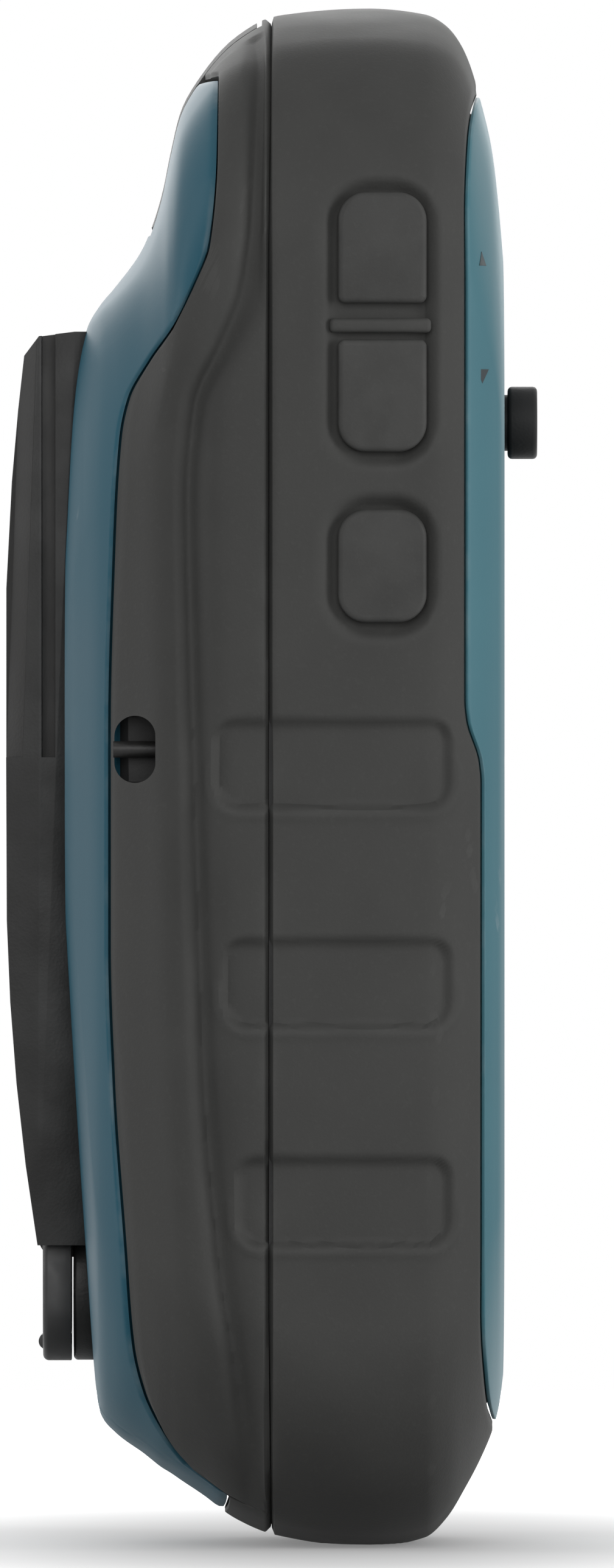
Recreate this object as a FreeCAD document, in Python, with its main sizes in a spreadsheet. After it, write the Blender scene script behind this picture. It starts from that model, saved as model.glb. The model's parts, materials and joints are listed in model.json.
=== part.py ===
import FreeCAD, Part
import math
import os
import re
import Sketcher

# Handheld GPS unit, millimetres. +Z is up the long axis, the screen faces -Y and
# the zoom and menu keys are on the -X side. The origin is under the middle of the
# body's width and depth, on the plane that the base stands on.

doc = FreeCAD.newDocument("handheld_gps")
sheet = doc.addObject("Spreadsheet::Sheet", "Dim")

SIZES = {
    # outer body
    "half_width": 27.0, "side_taper": 0.7, "body_height": 103.0,
    "front_depth": 15.4, "rear_depth": 13.9, "parting_depth": 0.25,
    "crown_radius": 62.0, "sole_radius": 95.0, "corner_radius": 14.0,
    "wall": 1.8, "seam_width": 0.4, "seam_depth": 0.5, "fit_gap": 0.1,
    "foot_width": 30.0, "foot_depth": 8.0, "foot_middle": -5.9, "foot_sink": 0.35,
    # front bezel, lens and display
    "bezel_lip": 1.2, "bezel_rim": 1.6, "bezel_side_upper": 2.55, "bezel_side_lower": 1.45,
    "step_top": 56.5, "step_bottom": 51.0, "bezel_top": "=body_height - 6.5", "bezel_bottom": 8.0,
    "front_wall": 1.5, "window_width": 39.0, "window_height": "=body_height - 55",
    "window_centre": "=19 + window_height / 2",
    "window_radius": 2.5, "lens_thick": 1.0, "lens_ledge": 1.0, "lens_sink": 0.25,
    "screen_width": 36.0, "screen_height": "=window_height - 3", "screen_thick": 2.6, "screen_gasket": 0.7,
    # battery cover and cap
    "cover_wall": 1.5, "cover_gap": 0.2, "cover_top": "=body_height - 5", "cover_top_gap": 0.4, "cover_bottom": 3.4,
    "cap_half_width": 8.0, "cap_bottom": "=body_height - 14.8", "cap_thick": 2.2, "cap_gap": 0.35,
    "cap_front": 1.1,
    # battery bay
    "cell_radius": 7.2, "cell_length": 49.5, "cell_nub": 1.0, "cell_nub_radius": 2.7,
    "cell_pitch": 15.0, "cell_depth": 3.9, "cell_bottom": 27.0, "cell_clear": 0.3,
    "bay_wall": 1.2, "spring_room": 3.2, "spring_wire": 0.4, "spring_coil": 3.4,
    "contact_thick": 0.4, "contact_width": 9.0, "seal_thick": 0.8, "seal_wide": 1.2,
    # boards
    "board_width": 43.0, "board_bottom": 9.0, "board_top": "=body_height - 9", "board_thick": 1.2,
    "board_back": -6.6, "antenna_side": 18.0, "antenna_thick": 4.0, "antenna_centre": "=body_height - 18.5",
    "antenna_across": -5.0, "shield_width": 28.0, "shield_height": 24.0, "shield_thick": 1.6,
    "shield_centre": 40.0, "card_width": 11.0, "card_long": 15.0, "card_thick": 0.8,
    "card_centre": 68.0, "usb_wide": 7.7, "usb_tall": 4.0, "usb_long": 9.2, "usb_height": "=body_height - 8.5",
    "usb_wall": 0.4,
    # keys
    "key_depth_front": -10.2, "key_depth_rear": -4.3, "key_groove": 1.1, "key_recess": 0.9,
    "key_play": 0.15, "key_proud": 0.15, "key_flange": 0.8, "key_flange_rim": 0.7,
    "key_flange_gap": 0.5,
    "key_corner": 1.8, "key_travel": 0.4, "key_edge": 0.35,
    "zoom_top": "=body_height - 12.9", "zoom_split_top": "=zoom_top - 7.7",
    "zoom_split_bottom": "=zoom_top - 9.5", "zoom_bottom": "=zoom_top - 17.2",
    "menu_top": "=zoom_bottom - 3.8", "menu_bottom": "=menu_top - 7.5",
    "switch_long": 3.2, "switch_wide": 3.0, "switch_tall": 4.0, "plunger_radius": 0.8,
    "switch_gap": 0.05,
    # thumb stick
    "stick_across": 13.0, "stick_height": "=body_height - 27.65", "stick_radius": 2.45, "stick_proud": 2.45,
    "stick_cap_thick": 2.0, "stick_neck": 1.9, "stick_stem": 1.1, "stick_hole": 3.6,
    "stick_pivot": -11.2, "stick_travel": 0.3, "gimbal_radius": 3.3, "gimbal_bore": 2.1,
    "gimbal_thick": 1.4, "pivot_pin": 0.45, "pivot_play": 0.05, "carriage_side": 9.0,
    "carriage_thick": 0.8, "post_thick": 0.8, "stick_switch_thick": 0.8,
    # grip pockets
    "grip_first": 23.3, "grip_pitch": "=(menu_bottom - 32.6) / 2", "grip_tall": 6.1, "grip_sink": 0.45,
    "grip_front": -11.9, "grip_rear": 3.4,
    # mounting spine and lock
    "spine_width": 13.0, "spine_bottom": 20.0, "spine_top": "=body_height - 21.8", "spine_crest": 17.89,
    "spine_fall": 2.1, "crest_low": 44.5, "crest_high": "=spine_top - 17.2",
    "spine_slot_depth": 1.6, "spine_slot_tall": 0.9, "spine_slot_level": 14.6,
    "spine_slot_end": "=spine_top - 28.5", "spine_shoulder": 1.1, "spine_lean": 1.0,
    "lock_sweep": 6.75,
    "lock_height": 17.2, "lock_radius": 5.0, "lock_thick": 1.6, "lock_shaft": 1.6,
    "lock_seat": 11.7, "lock_play": 0.1, "lock_bar": 5.4, "lock_bar_width": 1.8,
    "lock_bar_thick": 1.0, "lock_bar_depth": 7.3, "keeper_depth": 8.6, "keeper_thick": 1.0,
    "keeper_radius": 4.4, "keeper_slot": 7.4,
    "ring_width": 10.4, "ring_bottom": 12.2, "ring_thick": 1.9, "ring_bar": 1.8,
    "ring_corner": 3.6, "ring_pivot_height": 20.4, "ring_pivot_depth": 14.5,
    "ring_barrel": 1.0, "ring_pin": 0.5, "knuckle_width": 4.4, "knuckle_gap": 0.15,
    # strap bar
    "strap_depth": 9.2, "strap_height": 53.2, "strap_tall": 4.3, "strap_wide": 2.8,
    "strap_bar_radius": 0.55, "strap_bar_sink": 5.0, "strap_pocket": 5.8,
    # fasteners
    "screw_radius": 0.9, "screw_head": 1.7, "screw_length": 7.0, "screw_seat": 1.2, "screw_across": 19.5,
    "screw_low": 12.5, "screw_high": "=body_height - 8.5", "boss_radius": 2.6,
}

for row, (alias, size) in enumerate(SIZES.items(), start=1):
    sheet.set(f"A{row}", alias)
    sheet.set(f"B{row}", str(size))
    sheet.setAlias(f"B{row}", alias)
doc.recompute()


def dim(alias):
    """The value of one cell of the sheet."""
    return float(sheet.get(alias))


def bind(obj, prop, formula):
    """Bind a property to a formula of cell names."""
    if isinstance(formula, (int, float)):
        formula = str(formula)
    obj.setExpression(prop, re.sub(r"[a-z][a-z_]+", lambda word: "Dim." + word.group(), formula))


TURNS = {
    "Z": FreeCAD.Rotation(),
    "X": FreeCAD.Rotation(FreeCAD.Vector(0, 1, 0), 90),
    "-X": FreeCAD.Rotation(FreeCAD.Vector(0, 1, 0), -90),
    "Y": FreeCAD.Rotation(FreeCAD.Vector(1, 0, 0), -90),
    "-Y": FreeCAD.Rotation(FreeCAD.Vector(1, 0, 0), 90),
}


def place(obj, corner):
    """Bind an object's place to three formulas."""
    for axis, formula in zip("xyz", corner):
        bind(obj, f"Placement.Base.{axis}", formula)
    return obj


def box(label, size, middle):
    """A box given by its size and its middle, each three formulas."""
    obj = doc.addObject("Part::Box", label)
    for prop, formula in zip(("Length", "Width", "Height"), size):
        bind(obj, prop, formula)
    return place(obj, [f"({m}) - ({s}) / 2" for m, s in zip(middle, size)])


def span(label, low, high):
    """A box from its lowest to its highest corner."""
    size = [f"({b}) - ({a})" for a, b in zip(low, high)]
    obj = doc.addObject("Part::Box", label)
    for prop, formula in zip(("Length", "Width", "Height"), size):
        bind(obj, prop, formula)
    return place(obj, low)


def rod(label, radius, length, start, axis):
    """A cylinder from its start, along a signed axis."""
    obj = doc.addObject("Part::Cylinder", label)
    obj.Placement.Rotation = TURNS[axis]
    bind(obj, "Radius", radius)
    bind(obj, "Height", length)
    return place(obj, start)


def fuse(label, *pieces):
    """One solid of several."""
    obj = doc.addObject("Part::MultiFuse", label)
    obj.Shapes = list(pieces)
    return obj


def cut(label, base, *tools):
    """A piece with the tools taken away."""
    tool = tools[0] if len(tools) == 1 else fuse(label + "_tools", *tools)
    obj = doc.addObject("Part::Cut", label)
    obj.Base = base
    obj.Tool = tool
    return obj


def common(label, *pieces):
    """What several pieces share."""
    obj = doc.addObject("Part::MultiCommon", label)
    obj.Shapes = list(pieces)
    return obj


def feature(label, shape):
    """A plain feature for a shape that no primitive or sketch gives."""
    obj = doc.addObject("Part::Feature", label)
    obj.Shape = shape
    return obj


def prism(label, points, half_span):
    """A closed outline in the YZ plane, given as (y, z) points, spread along X."""
    corners = [FreeCAD.Vector(-half_span, y, z) for y, z in points]
    face = Part.Face(Part.makePolygon(corners + corners[:1]))
    return feature(label, face.extrude(FreeCAD.Vector(2 * half_span, 0, 0)))


# ---- outer form ---------------------------------------------------------------

# Each ring of the body: its depth in from the face, its drop from the top, its
# rise from the base and how far its sides draw in. The front rings start at the
# front face and the rear rings end at the rear face.
FRONT_RINGS = [
    (0.0, 16.5, 11.4, 6.2), (0.25, 13.5, 9.5, 5.1), (0.7, 9.6, 7.8, 4.2),
    (1.45, 6.3, 6.0, 3.1), (2.55, 2.9, 3.9, 1.9), (3.8, 1.15, 1.9, 0.9),
    (5.2, 0.4, 0.65, 0.3), (9.0, 0.0, 0.0, 0.0), (15.2, 0.5, 0.8, 0.0),
]
REAR_RINGS = [
    (11.4, 1.9, 1.9, 0.1), (9.2, 4.3, 3.5, 0.4), (7.7, 6.9, 4.5, 0.9),
    (7.05, 9.5, 4.95, 1.3), (6.4, 12.6, 5.35, 1.8), (5.2, 16.0, 6.3, 2.9),
    (3.3, 18.7, 7.7, 5.0), (2.3, 19.9, 9.0, 6.6), (1.4, 21.5, 19.0, 8.8),
    (0.6, 26.0, 31.0, 11.2), (0.0, 36.0, 41.0, 13.8),
]


def ring_wire(depth, low, high, half_width):
    """One ring of the body: straight tapered sides, crowned ends and round corners."""
    taper = dim("side_taper") / 2
    corner = min(dim("corner_radius"), 0.8 * half_width, 0.4 * (high - low))
    ends = []
    for sign, level, crown, width in (
        (1, high, dim("crown_radius"), half_width + taper),
        (-1, low, dim("sole_radius"), half_width - taper),
    ):
        crown = max(crown, 1.5 * width)
        middle = level - sign * crown
        centre_z = middle + sign * math.sqrt((crown - corner) ** 2 - (width - corner) ** 2)
        reach = math.atan2(width - corner, abs(centre_z - middle))
        ends.append((sign, level, crown, middle, width, centre_z, reach))
    edges = []
    for sign, level, crown, middle, width, centre_z, reach in ends:
        def point(x, z):
            return FreeCAD.Vector(sign * x, depth, z)
        on_crown = (crown * math.sin(reach), middle + sign * crown * math.cos(reach))
        half = (math.pi / 2 + reach) / 2
        on_corner = (width - corner + corner * math.sin(half), centre_z + sign * corner * math.cos(half))
        side = point(width, centre_z)
        edges.append(Part.Arc(side, point(*on_corner), point(*on_crown)).toShape())
        far = point(-on_crown[0], on_crown[1])
        edges.append(Part.Arc(point(*on_crown), point(0, level), far).toShape())
        far_corner = point(-on_corner[0], on_corner[1])
        edges.append(Part.Arc(far, far_corner, point(-width, centre_z)).toShape())
        if sign == 1:
            below = ends[1]
            start = FreeCAD.Vector(-width, depth, centre_z)
            edges.append(Part.LineSegment(start, FreeCAD.Vector(-below[4], depth, below[5])).toShape())
        else:
            above = ends[0]
            start = FreeCAD.Vector(width, depth, centre_z)
            edges.append(Part.LineSegment(start, FreeCAD.Vector(above[4], depth, above[5])).toShape())
    return Part.Wire(edges)


def body_form(label, inset):
    """The outer form of the body, drawn in all round by an inset."""
    front = dim("front_depth")
    rear = dim("rear_depth")
    low = inset - dim("foot_sink")
    high = dim("body_height") - inset
    half = dim("half_width") - dim("side_taper") / 2 - inset
    settle = lambda depth: inset * max(0.0, 1 - depth / 10.0)
    wires = [ring_wire(s - front + settle(s), low + b, high - t, half - i) for s, t, b, i in FRONT_RINGS]
    wires += [ring_wire(rear - s - settle(s), low + b, high - t, half - i) for s, t, b, i in REAR_RINGS]
    return feature(label, Part.makeLoft(wires, True, True))


FAR = 80.0
outer = body_form("outer_form", 0.0)
foot = box("foot_plane", ("foot_width", "foot_depth", "2"), ("0", "foot_middle", "0 - 1"))


def slab(label, low, high):
    """Everything between two depths."""
    return span(label, (-FAR, low, -FAR), (FAR, high, 2 * FAR))


# split lines seen from the side, as (depth, height) points
front = -dim("front_depth")


def bezel_line(gap):
    """The bezel's rear edge with its step, moved back by a gap."""
    upper = front + dim("bezel_side_upper") + gap
    lower = front + dim("bezel_side_lower") + gap
    top = dim("bezel_top") + gap
    bottom = dim("bezel_bottom") - gap
    step_top = dim("step_top")
    step_bottom = dim("step_bottom")
    middle = (step_top + step_bottom) / 2
    rise = (step_top - step_bottom) / 4
    return [
        (front - 5, top + 4), (front + 1.2, top + 1.2), (upper - 0.7, top), (upper - 0.2, top - 3),
        (upper, top - 8), (upper, step_top), (upper + 0.12 * (lower - upper), middle + rise),
        (lower - 0.12 * (lower - upper), middle - rise), (lower, step_bottom),
        (lower, bottom + 8), (lower - 0.3, bottom + 3), (lower - 1.0, bottom), (front - 5, bottom - 2),
    ]


COVER_FRONT = 3.75


def cover_line(gap, top_gap=0.0):
    """The battery cover's front edge, moved forward by a gap and its top up by another."""
    top = dim("cover_top")
    bottom = dim("cover_bottom")
    points = [
        (COVER_FRONT, top + top_gap), (3.8, top - 5.5), (4.3, top - 11.4), (5.3, top - 14), (6.6, top - 16.5),
        (8.4, top - 19), (9.75, top - 21.4), (10.3, top - 24), (10.75, 66.0), (11.05, 54.5), (11.05, 40.0), (10.75, 31.0),
        (10.0, 20.6), (9.45, 13.5), (8.7, 10.3), (7.5, 7.8), (5.65, 5.4), (3.1, bottom), (9.0, bottom - 6),
    ]
    return [(y - gap, z) for y, z in points] + [(40, bottom - 6), (40, top + top_gap)]


# ---- housings -----------------------------------------------------------------

bezel_space = prism("bezel_space", bezel_line(0.0), FAR)
bezel_seat = prism("bezel_seat", bezel_line(dim("fit_gap")), FAR)
lip_form = body_form("lip_form", dim("bezel_rim"))
plateau_form = body_form("plateau_form", dim("bezel_rim") + dim("fit_gap"))
inner_form = body_form("inner_form", dim("wall"))
seam_form = body_form("seam_form", dim("seam_depth"))


def window(label, grow, low, high):
    """The rounded screen opening, grown all round, between two depths."""
    body = doc.addObject("PartDesign::Body", label)
    sketch = rounded_sketch(body, f"window_width + 2 * ({grow})", f"window_height + 2 * ({grow})",
                            f"window_radius + ({grow})")
    pad(body, sketch, f"({high}) - ({low})")
    body.Placement.Rotation = TURNS["Y"]
    return place(body, ("0", low, "window_centre"))


def plane_of(body, role):
    """One of a body's own origin planes."""
    return next(item for item in body.Origin.OriginFeatures if item.Role == role)


def new_sketch(body):
    """A sketch on the body's own XY plane."""
    sketch = body.newObject("Sketcher::SketchObject", body.Label + "_sketch")
    sketch.AttachmentSupport = [(plane_of(body, "XY_Plane"), "")]
    sketch.MapMode = "FlatFace"
    return sketch


def number(formula):
    """The value of a formula of cell names, to draw a sketch near its final size."""
    probe = doc.addObject("App::FeaturePython", "probe")
    probe.addProperty("App::PropertyFloat", "Size")
    bind(probe, "Size", formula)
    probe.recompute()
    size = probe.Size
    doc.removeObject(probe.Name)
    return size


def rounded_sketch(body, width, height, radius):
    """A centred rectangle with round corners, all three sizes bound."""
    sketch = new_sketch(body)
    w, h, r = number(width) / 2, number(height) / 2, number(radius)
    corners = [(w - r, -h + r), (w - r, h - r), (-w + r, h - r), (-w + r, -h + r)]
    sides = [((-w + r, -h), (w - r, -h)), ((w, -h + r), (w, h - r)),
             ((w - r, h), (-w + r, h)), ((-w, h - r), (-w, -h + r))]
    for start, end in sides:
        sketch.addGeometry(Part.LineSegment(FreeCAD.Vector(*start, 0), FreeCAD.Vector(*end, 0)))
    for turn, centre in enumerate(corners):
        circle = Part.Circle(FreeCAD.Vector(*centre, 0), FreeCAD.Vector(0, 0, 1), r)
        start = math.radians(90 * turn - 90)
        sketch.addGeometry(Part.ArcOfCircle(circle, start, start + math.pi / 2))
    add = lambda *rule: sketch.addConstraint(Sketcher.Constraint(*rule))
    for side in range(4):
        add("Tangent", side, 2, 4 + side, 1)
        add("Tangent", 4 + side, 2, (side + 1) % 4, 1)
        add("Horizontal" if side % 2 == 0 else "Vertical", side)
    for corner in (5, 6, 7):
        add("Equal", 4, corner)
    add("Symmetric", 4, 3, 6, 3, -1, 1)
    for name, rule, formula in (
        ("radius", ("Radius", 4, r), radius),
        ("width", ("DistanceX", 3, 1, 1, 1, 2 * w), width),
        ("height", ("DistanceY", 0, 1, 2, 1, 2 * h), height),
    ):
        index = add(*rule)
        sketch.renameConstraint(index, name)
        bind(sketch, f"Constraints.{name}", formula)
    return sketch


def circle_sketch(body, *radii):
    """Circles about the body's origin, each radius bound."""
    sketch = new_sketch(body)
    for count, radius in enumerate(radii):
        circle = Part.Circle(FreeCAD.Vector(0, 0, 0), FreeCAD.Vector(0, 0, 1), number(radius))
        sketch.addGeometry(circle)
        sketch.addConstraint(Sketcher.Constraint("Coincident", count, 3, -1, 1))
        index = sketch.addConstraint(Sketcher.Constraint("Radius", count, number(radius)))
        sketch.renameConstraint(index, f"ring_{count}")
        bind(sketch, f"Constraints.ring_{count}", radius)
    return sketch


def pad(body, sketch, length):
    """Pad a sketch by a bound length."""
    solid = body.newObject("PartDesign::Pad", body.Label + "_pad")
    solid.Profile = sketch
    bind(solid, "Length", length)
    body.Tip = solid
    return solid


def soften(body, radius):
    """Round the edges of the face that a body's pad ends on."""
    doc.recompute()
    solid = body.Tip
    top = max(range(len(solid.Shape.Faces)), key=lambda n: solid.Shape.Faces[n].CenterOfMass.z)
    edge = body.newObject("PartDesign::Fillet", body.Label + "_edge")
    edge.Base = (solid, [f"Face{top + 1}"])
    bind(edge, "Radius", radius)
    body.Tip = edge
    return edge


# ---- front half ---------------------------------------------------------------

front_block = common("front_block", outer, slab("front_slab", "-40", "parting_depth"))
plateau = common("plateau", plateau_form, slab(
    "plateau_slab", "0 - front_depth + bezel_lip + fit_gap", "0"))
front_core = fuse("front_core", cut("front_outer", front_block, bezel_seat, foot), plateau)
front_hollow = common("front_hollow", inner_form, slab(
    "front_hollow_slab", "0 - front_depth + bezel_lip + fit_gap + front_wall", "parting_depth"))
seam_groove = cut("seam_groove", slab(
    "seam_slab", "parting_depth - seam_width / 2", "parting_depth + seam_width / 2"), seam_form)

KEYS = {
    "zoom_in_key": ("-X", "zoom_split_top", "zoom_top"),
    "zoom_out_key": ("-X", "zoom_bottom", "zoom_split_bottom"),
    "menu_key": ("-X", "menu_bottom", "menu_top"),
    "back_key": ("X", "zoom_split_top", "zoom_top"),
    "light_key": ("X", "menu_bottom", "menu_top"),
}
KEY_DEPTH = "(key_depth_front + key_depth_rear) / 2"
KEY_WIDE = "(key_depth_rear - key_depth_front)"


def key_face(side, low, high):
    """The depth across at which the flat side of the body lies beside a key."""
    middle = f"(({low}) + ({high})) / 2"
    level = f"(half_width - side_taper + side_taper * ({middle}) / body_height)"
    return middle, level


def key_block(label, side, low, high, grow, start, length, corner="key_corner"):
    """A rounded block on a key's outline, grown all round, set in from the body's side."""
    middle, level = key_face(side, low, high)
    sign = "1" if side == "-X" else "-1"
    body = doc.addObject("PartDesign::Body", label)
    sketch = rounded_sketch(body, f"({high}) - ({low}) + 2 * ({grow})",
                            f"{KEY_WIDE} + 2 * ({grow})", f"{corner} + ({grow})")
    pad(body, sketch, length)
    body.Placement.Rotation = TURNS["-X" if side == "-X" else "X"]
    across = f"{sign} * ((({start}) + ({length})) - {level})"
    return place(body, (across, KEY_DEPTH, middle))


key_holes = []
key_recesses = []
RECESSES = {
    "zoom": ("-X", "zoom_bottom", "zoom_top"), "menu": ("-X", "menu_bottom", "menu_top"),
    "back": ("X", "zoom_split_top", "zoom_top"), "light": ("X", "menu_bottom", "menu_top"),
}
for name, (side, low, high) in RECESSES.items():
    key_recesses.append(key_block(
        name + "_recess", side, low, high, "key_groove", "0 - 1", "key_recess + 1"))
for name, (side, low, high) in KEYS.items():
    key_holes.append(key_block(name + "_hole", side, low, high, "key_play", "0 - 1", "wall + 2"))
zoom_bar = span(
    "zoom_bar", ("0 - half_width + 0.15", "key_depth_front - 0.6", "zoom_split_bottom + 0.55"),
    ("0 - half_width + wall", "key_depth_rear + 0.6", "zoom_split_top - 0.55"))

stick_hole = rod("stick_hole", "stick_hole", "front_wall + 6",
                 ("stick_across", "0 - front_depth - 1", "stick_height"), "Y")
front_window = window("front_window", "0.4", "0 - front_depth", "0 - front_depth + bezel_lip + front_wall + 1")

SCREWS = [(sx, level) for sx in ("0 - screw_across", "screw_across") for level in ("screw_low", "screw_high")]
front_bosses = [
    rod(f"front_boss_{n}", "boss_radius", "front_depth + parting_depth - bezel_lip - fit_gap - front_wall / 2",
        (x, "0 - front_depth + bezel_lip + fit_gap + front_wall / 2", z), "Y")
    for n, (x, z) in enumerate(SCREWS)]
boss_bores = [
    rod(f"boss_bore_{n}", "screw_radius", "screw_length + 0.5", (x, "parting_depth + screw_seat - screw_length", z), "Y")
    for n, (x, z) in enumerate(SCREWS)]

GRIPS = [f"grip_first + {n} * grip_pitch" for n in range(3)]


def grip_blocks(label, low, high, side):
    """Cutters for the three grip pockets of one side between two depths."""
    sign = "-1" if side == "-X" else "1"
    blocks = []
    for n, level in enumerate(GRIPS):
        body = doc.addObject("PartDesign::Body", f"{label}_{n}")
        sketch = rounded_sketch(body, "grip_tall", f"({high}) - ({low})", "grip_tall / 2 - 0.6")
        pad(body, sketch, "wall")
        body.Placement.Rotation = TURNS[side]
        across = f"{sign} * (half_width - side_taper + side_taper * ({level}) / body_height - grip_sink)"
        blocks.append(place(body, (across, f"(({low}) + ({high})) / 2", level)))
    return blocks


grips = fuse("grip_pockets", *grip_blocks("left_grip", "grip_front", "grip_rear", "-X"),
             *grip_blocks("right_grip", "grip_front", "grip_rear", "X"))

front_shell = cut("front_shell", front_core, front_hollow, front_window, stick_hole, grips, *key_recesses)
front_shell = fuse("front_shell_fitted", front_shell, zoom_bar,
                   common("front_boss_posts", plateau_form, fuse("front_boss_group", *front_bosses)))
housing_seal = cut("housing_seal", common("seal_ring", body_form("seal_ring_outside", dim("seam_depth") + 0.2), slab(
    "seal_ring_slab", "parting_depth - seal_thick", "parting_depth")), body_form(
    "seal_ring_inside", dim("wall") - 0.3))
front_housing = cut("front_housing", front_shell, seam_groove, housing_seal, *key_holes, *boss_bores)

bezel_block = common("bezel_block", outer, bezel_space)
bezel_plug = common("bezel_plug", lip_form, slab("bezel_plug_slab", "0 - front_depth + bezel_lip", "40"))
front_bezel = cut(
    "front_bezel", bezel_block, bezel_plug,
    window("bezel_window", "0 - lens_ledge", "0 - front_depth - 1", "0 - front_depth + bezel_lip + 2"),
    window("lens_recess", "0", "0 - front_depth + lens_sink", "0 - front_depth + bezel_lip + 2"),
    rod("bezel_stick_hole", "stick_hole", "6", ("stick_across", "0 - front_depth - 1", "stick_height"), "Y"))
doc.recompute()


# ---- rear half ----------------------------------------------------------------

rear_block = common("rear_block", outer, slab("rear_slab", "parting_depth", "40"))
cover_space = prism("cover_space", cover_line(0.0), FAR)
cover_seat = prism("cover_seat", cover_line(dim("fit_gap") + 0.05, dim("cover_top_gap")), FAR)
under_form = body_form("under_form", dim("cover_wall"))
seat_form = body_form("seat_form", dim("cover_wall") + dim("cover_gap"))
deep_form = body_form("deep_form", dim("cover_wall") + dim("cover_gap") + dim("wall") - 0.3)

BAY_HALF = "(cell_pitch / 2 + cell_radius + cell_clear)"
BAY_FLOOR = "(cell_depth - cell_radius - cell_clear)"
BAY_LOW = "(cell_bottom - spring_room)"
BAY_HIGH = "(cell_bottom + cell_length + cell_nub + contact_thick)"

cap_slot = span("cap_slot", ("0 - cap_half_width - cap_gap", "cap_front - cap_gap", "cap_bottom - 0.6"),
                ("cap_half_width + cap_gap", "40", "body_height + 1"))
cap_floor_form = body_form("cap_floor_form", dim("cap_thick") + 0.15)
cap_floor = common("cap_floor", cut("cap_floor_plug", cap_floor_form, body_form(
    "cap_floor_hollow", dim("cap_thick") + 1.6)), span(
    "cap_floor_space", ("0 - cap_half_width - 1.6", "parting_depth", "cap_bottom - 2"),
    ("cap_half_width + 1.6", "40", "body_height")))

rear_skin = cut("rear_skin", fuse("rear_core", cut("rear_outer", rear_block, cover_seat, foot), common(
    "rear_seat", seat_form, slab("rear_seat_slab", "parting_depth", "40"))), common(
    "rear_hollow", deep_form, slab("rear_hollow_slab", "parting_depth", "40")))
tub = common("tub", seat_form, span(
    "tub_block", (f"0 - {BAY_HALF} - bay_wall", f"{BAY_FLOOR} - bay_wall", f"{BAY_LOW} - bay_wall"),
    (f"{BAY_HALF} + bay_wall", "40", f"{BAY_HIGH} + bay_wall")))
bay = span("bay", (f"0 - {BAY_HALF}", BAY_FLOOR, BAY_LOW), (BAY_HALF, "40", BAY_HIGH))
rear_bosses = [
    rod(f"rear_boss_{n}", "boss_radius", "rear_depth", (x, "parting_depth", z), "Y")
    for n, (x, z) in enumerate(SCREWS)]
screw_wells = [
    rod(f"screw_well_{n}", "screw_head + fit_gap", "20", (x, "parting_depth + screw_seat", z), "Y")
    for n, (x, z) in enumerate(SCREWS)]
screw_bores = [
    rod(f"screw_bore_{n}", "screw_radius + fit_gap", "20", (x, "parting_depth - 1", z), "Y")
    for n, (x, z) in enumerate(SCREWS)]

# keeper well for the lock, and the strap bar's hole on the -X side
keeper_well = rod("keeper_well", "keeper_radius", "20", ("0", "lock_bar_depth - 1.6", "lock_height"), "Y")
keeper_post = common("keeper_post", seat_form, rod(
    "keeper_tube", "keeper_radius + 1.2", "20", ("0", "lock_bar_depth - 2.8", "lock_height"), "Y"))
strap_hole = box("strap_hole", ("strap_pocket * 2", "strap_wide", "strap_tall"),
                 ("0 - half_width + side_taper / 2", "strap_depth", "strap_height"))
strap_block = common("strap_block", seat_form, box(
    "strap_housing", ("strap_pocket * 2 + 2.4", "strap_wide + 2.6", "strap_tall + 2.4"),
    ("0 - half_width + side_taper / 2", "strap_depth - 0.3", "strap_height")))
usb_window = box("usb_window", ("usb_wide + 1.4", "20", "usb_tall + 1"), ("0", "10", "usb_height"))
card_window = box("card_window", ("card_width + 1.6", "4", "card_long + 2"), ("0", BAY_FLOOR, "card_centre"))

rear_solid = fuse("rear_solid", cut("rear_skin_open", rear_skin, cap_slot), cap_floor, tub,
                  keeper_post, strap_block, common("rear_boss_posts", seat_form, fuse("rear_boss_group", *rear_bosses)))
seal_frame = cut("seal_frame", span(
    "seal_outside", (f"0 - {BAY_HALF} - bay_wall - seal_wide", "0", f"{BAY_LOW} - bay_wall - seal_wide"),
    (f"{BAY_HALF} + bay_wall + seal_wide", "40", f"{BAY_HIGH} + bay_wall + seal_wide")), span(
    "seal_inside", (f"0 - {BAY_HALF} - bay_wall", "0 - 1", f"{BAY_LOW} - bay_wall"),
    (f"{BAY_HALF} + bay_wall", "41", f"{BAY_HIGH} + bay_wall")))
bay_seal = cut("bay_seal", common("seal_band", seal_frame, body_form(
    "seal_crown", dim("cover_wall") + 0.05)), body_form(
    "seal_root", dim("cover_wall") + dim("cover_gap") + dim("seal_thick")))
rear_housing = cut("rear_housing", rear_solid, seam_groove, grips, bay, keeper_well, strap_hole, card_window,
                   usb_window, bay_seal, *screw_wells, *screw_bores)

cover_block = common("cover_block", outer, cover_space)
cover_notch = span("cover_notch", ("0 - cap_half_width - cap_gap", "0", "cap_bottom - 0.6"),
                   ("cap_half_width + cap_gap", "40", "body_height + 5"))
cover_bore = rod("cover_bore", "lock_shaft + fit_gap / 2", "20", ("0", "6", "lock_height"), "Y")
lock_recess = rod("lock_recess", "lock_radius + 0.25", "10", ("0", "lock_seat", "lock_height"), "Y")
battery_cover = cut("battery_cover", cover_block, under_form, cover_notch, cover_bore, lock_recess)


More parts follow.
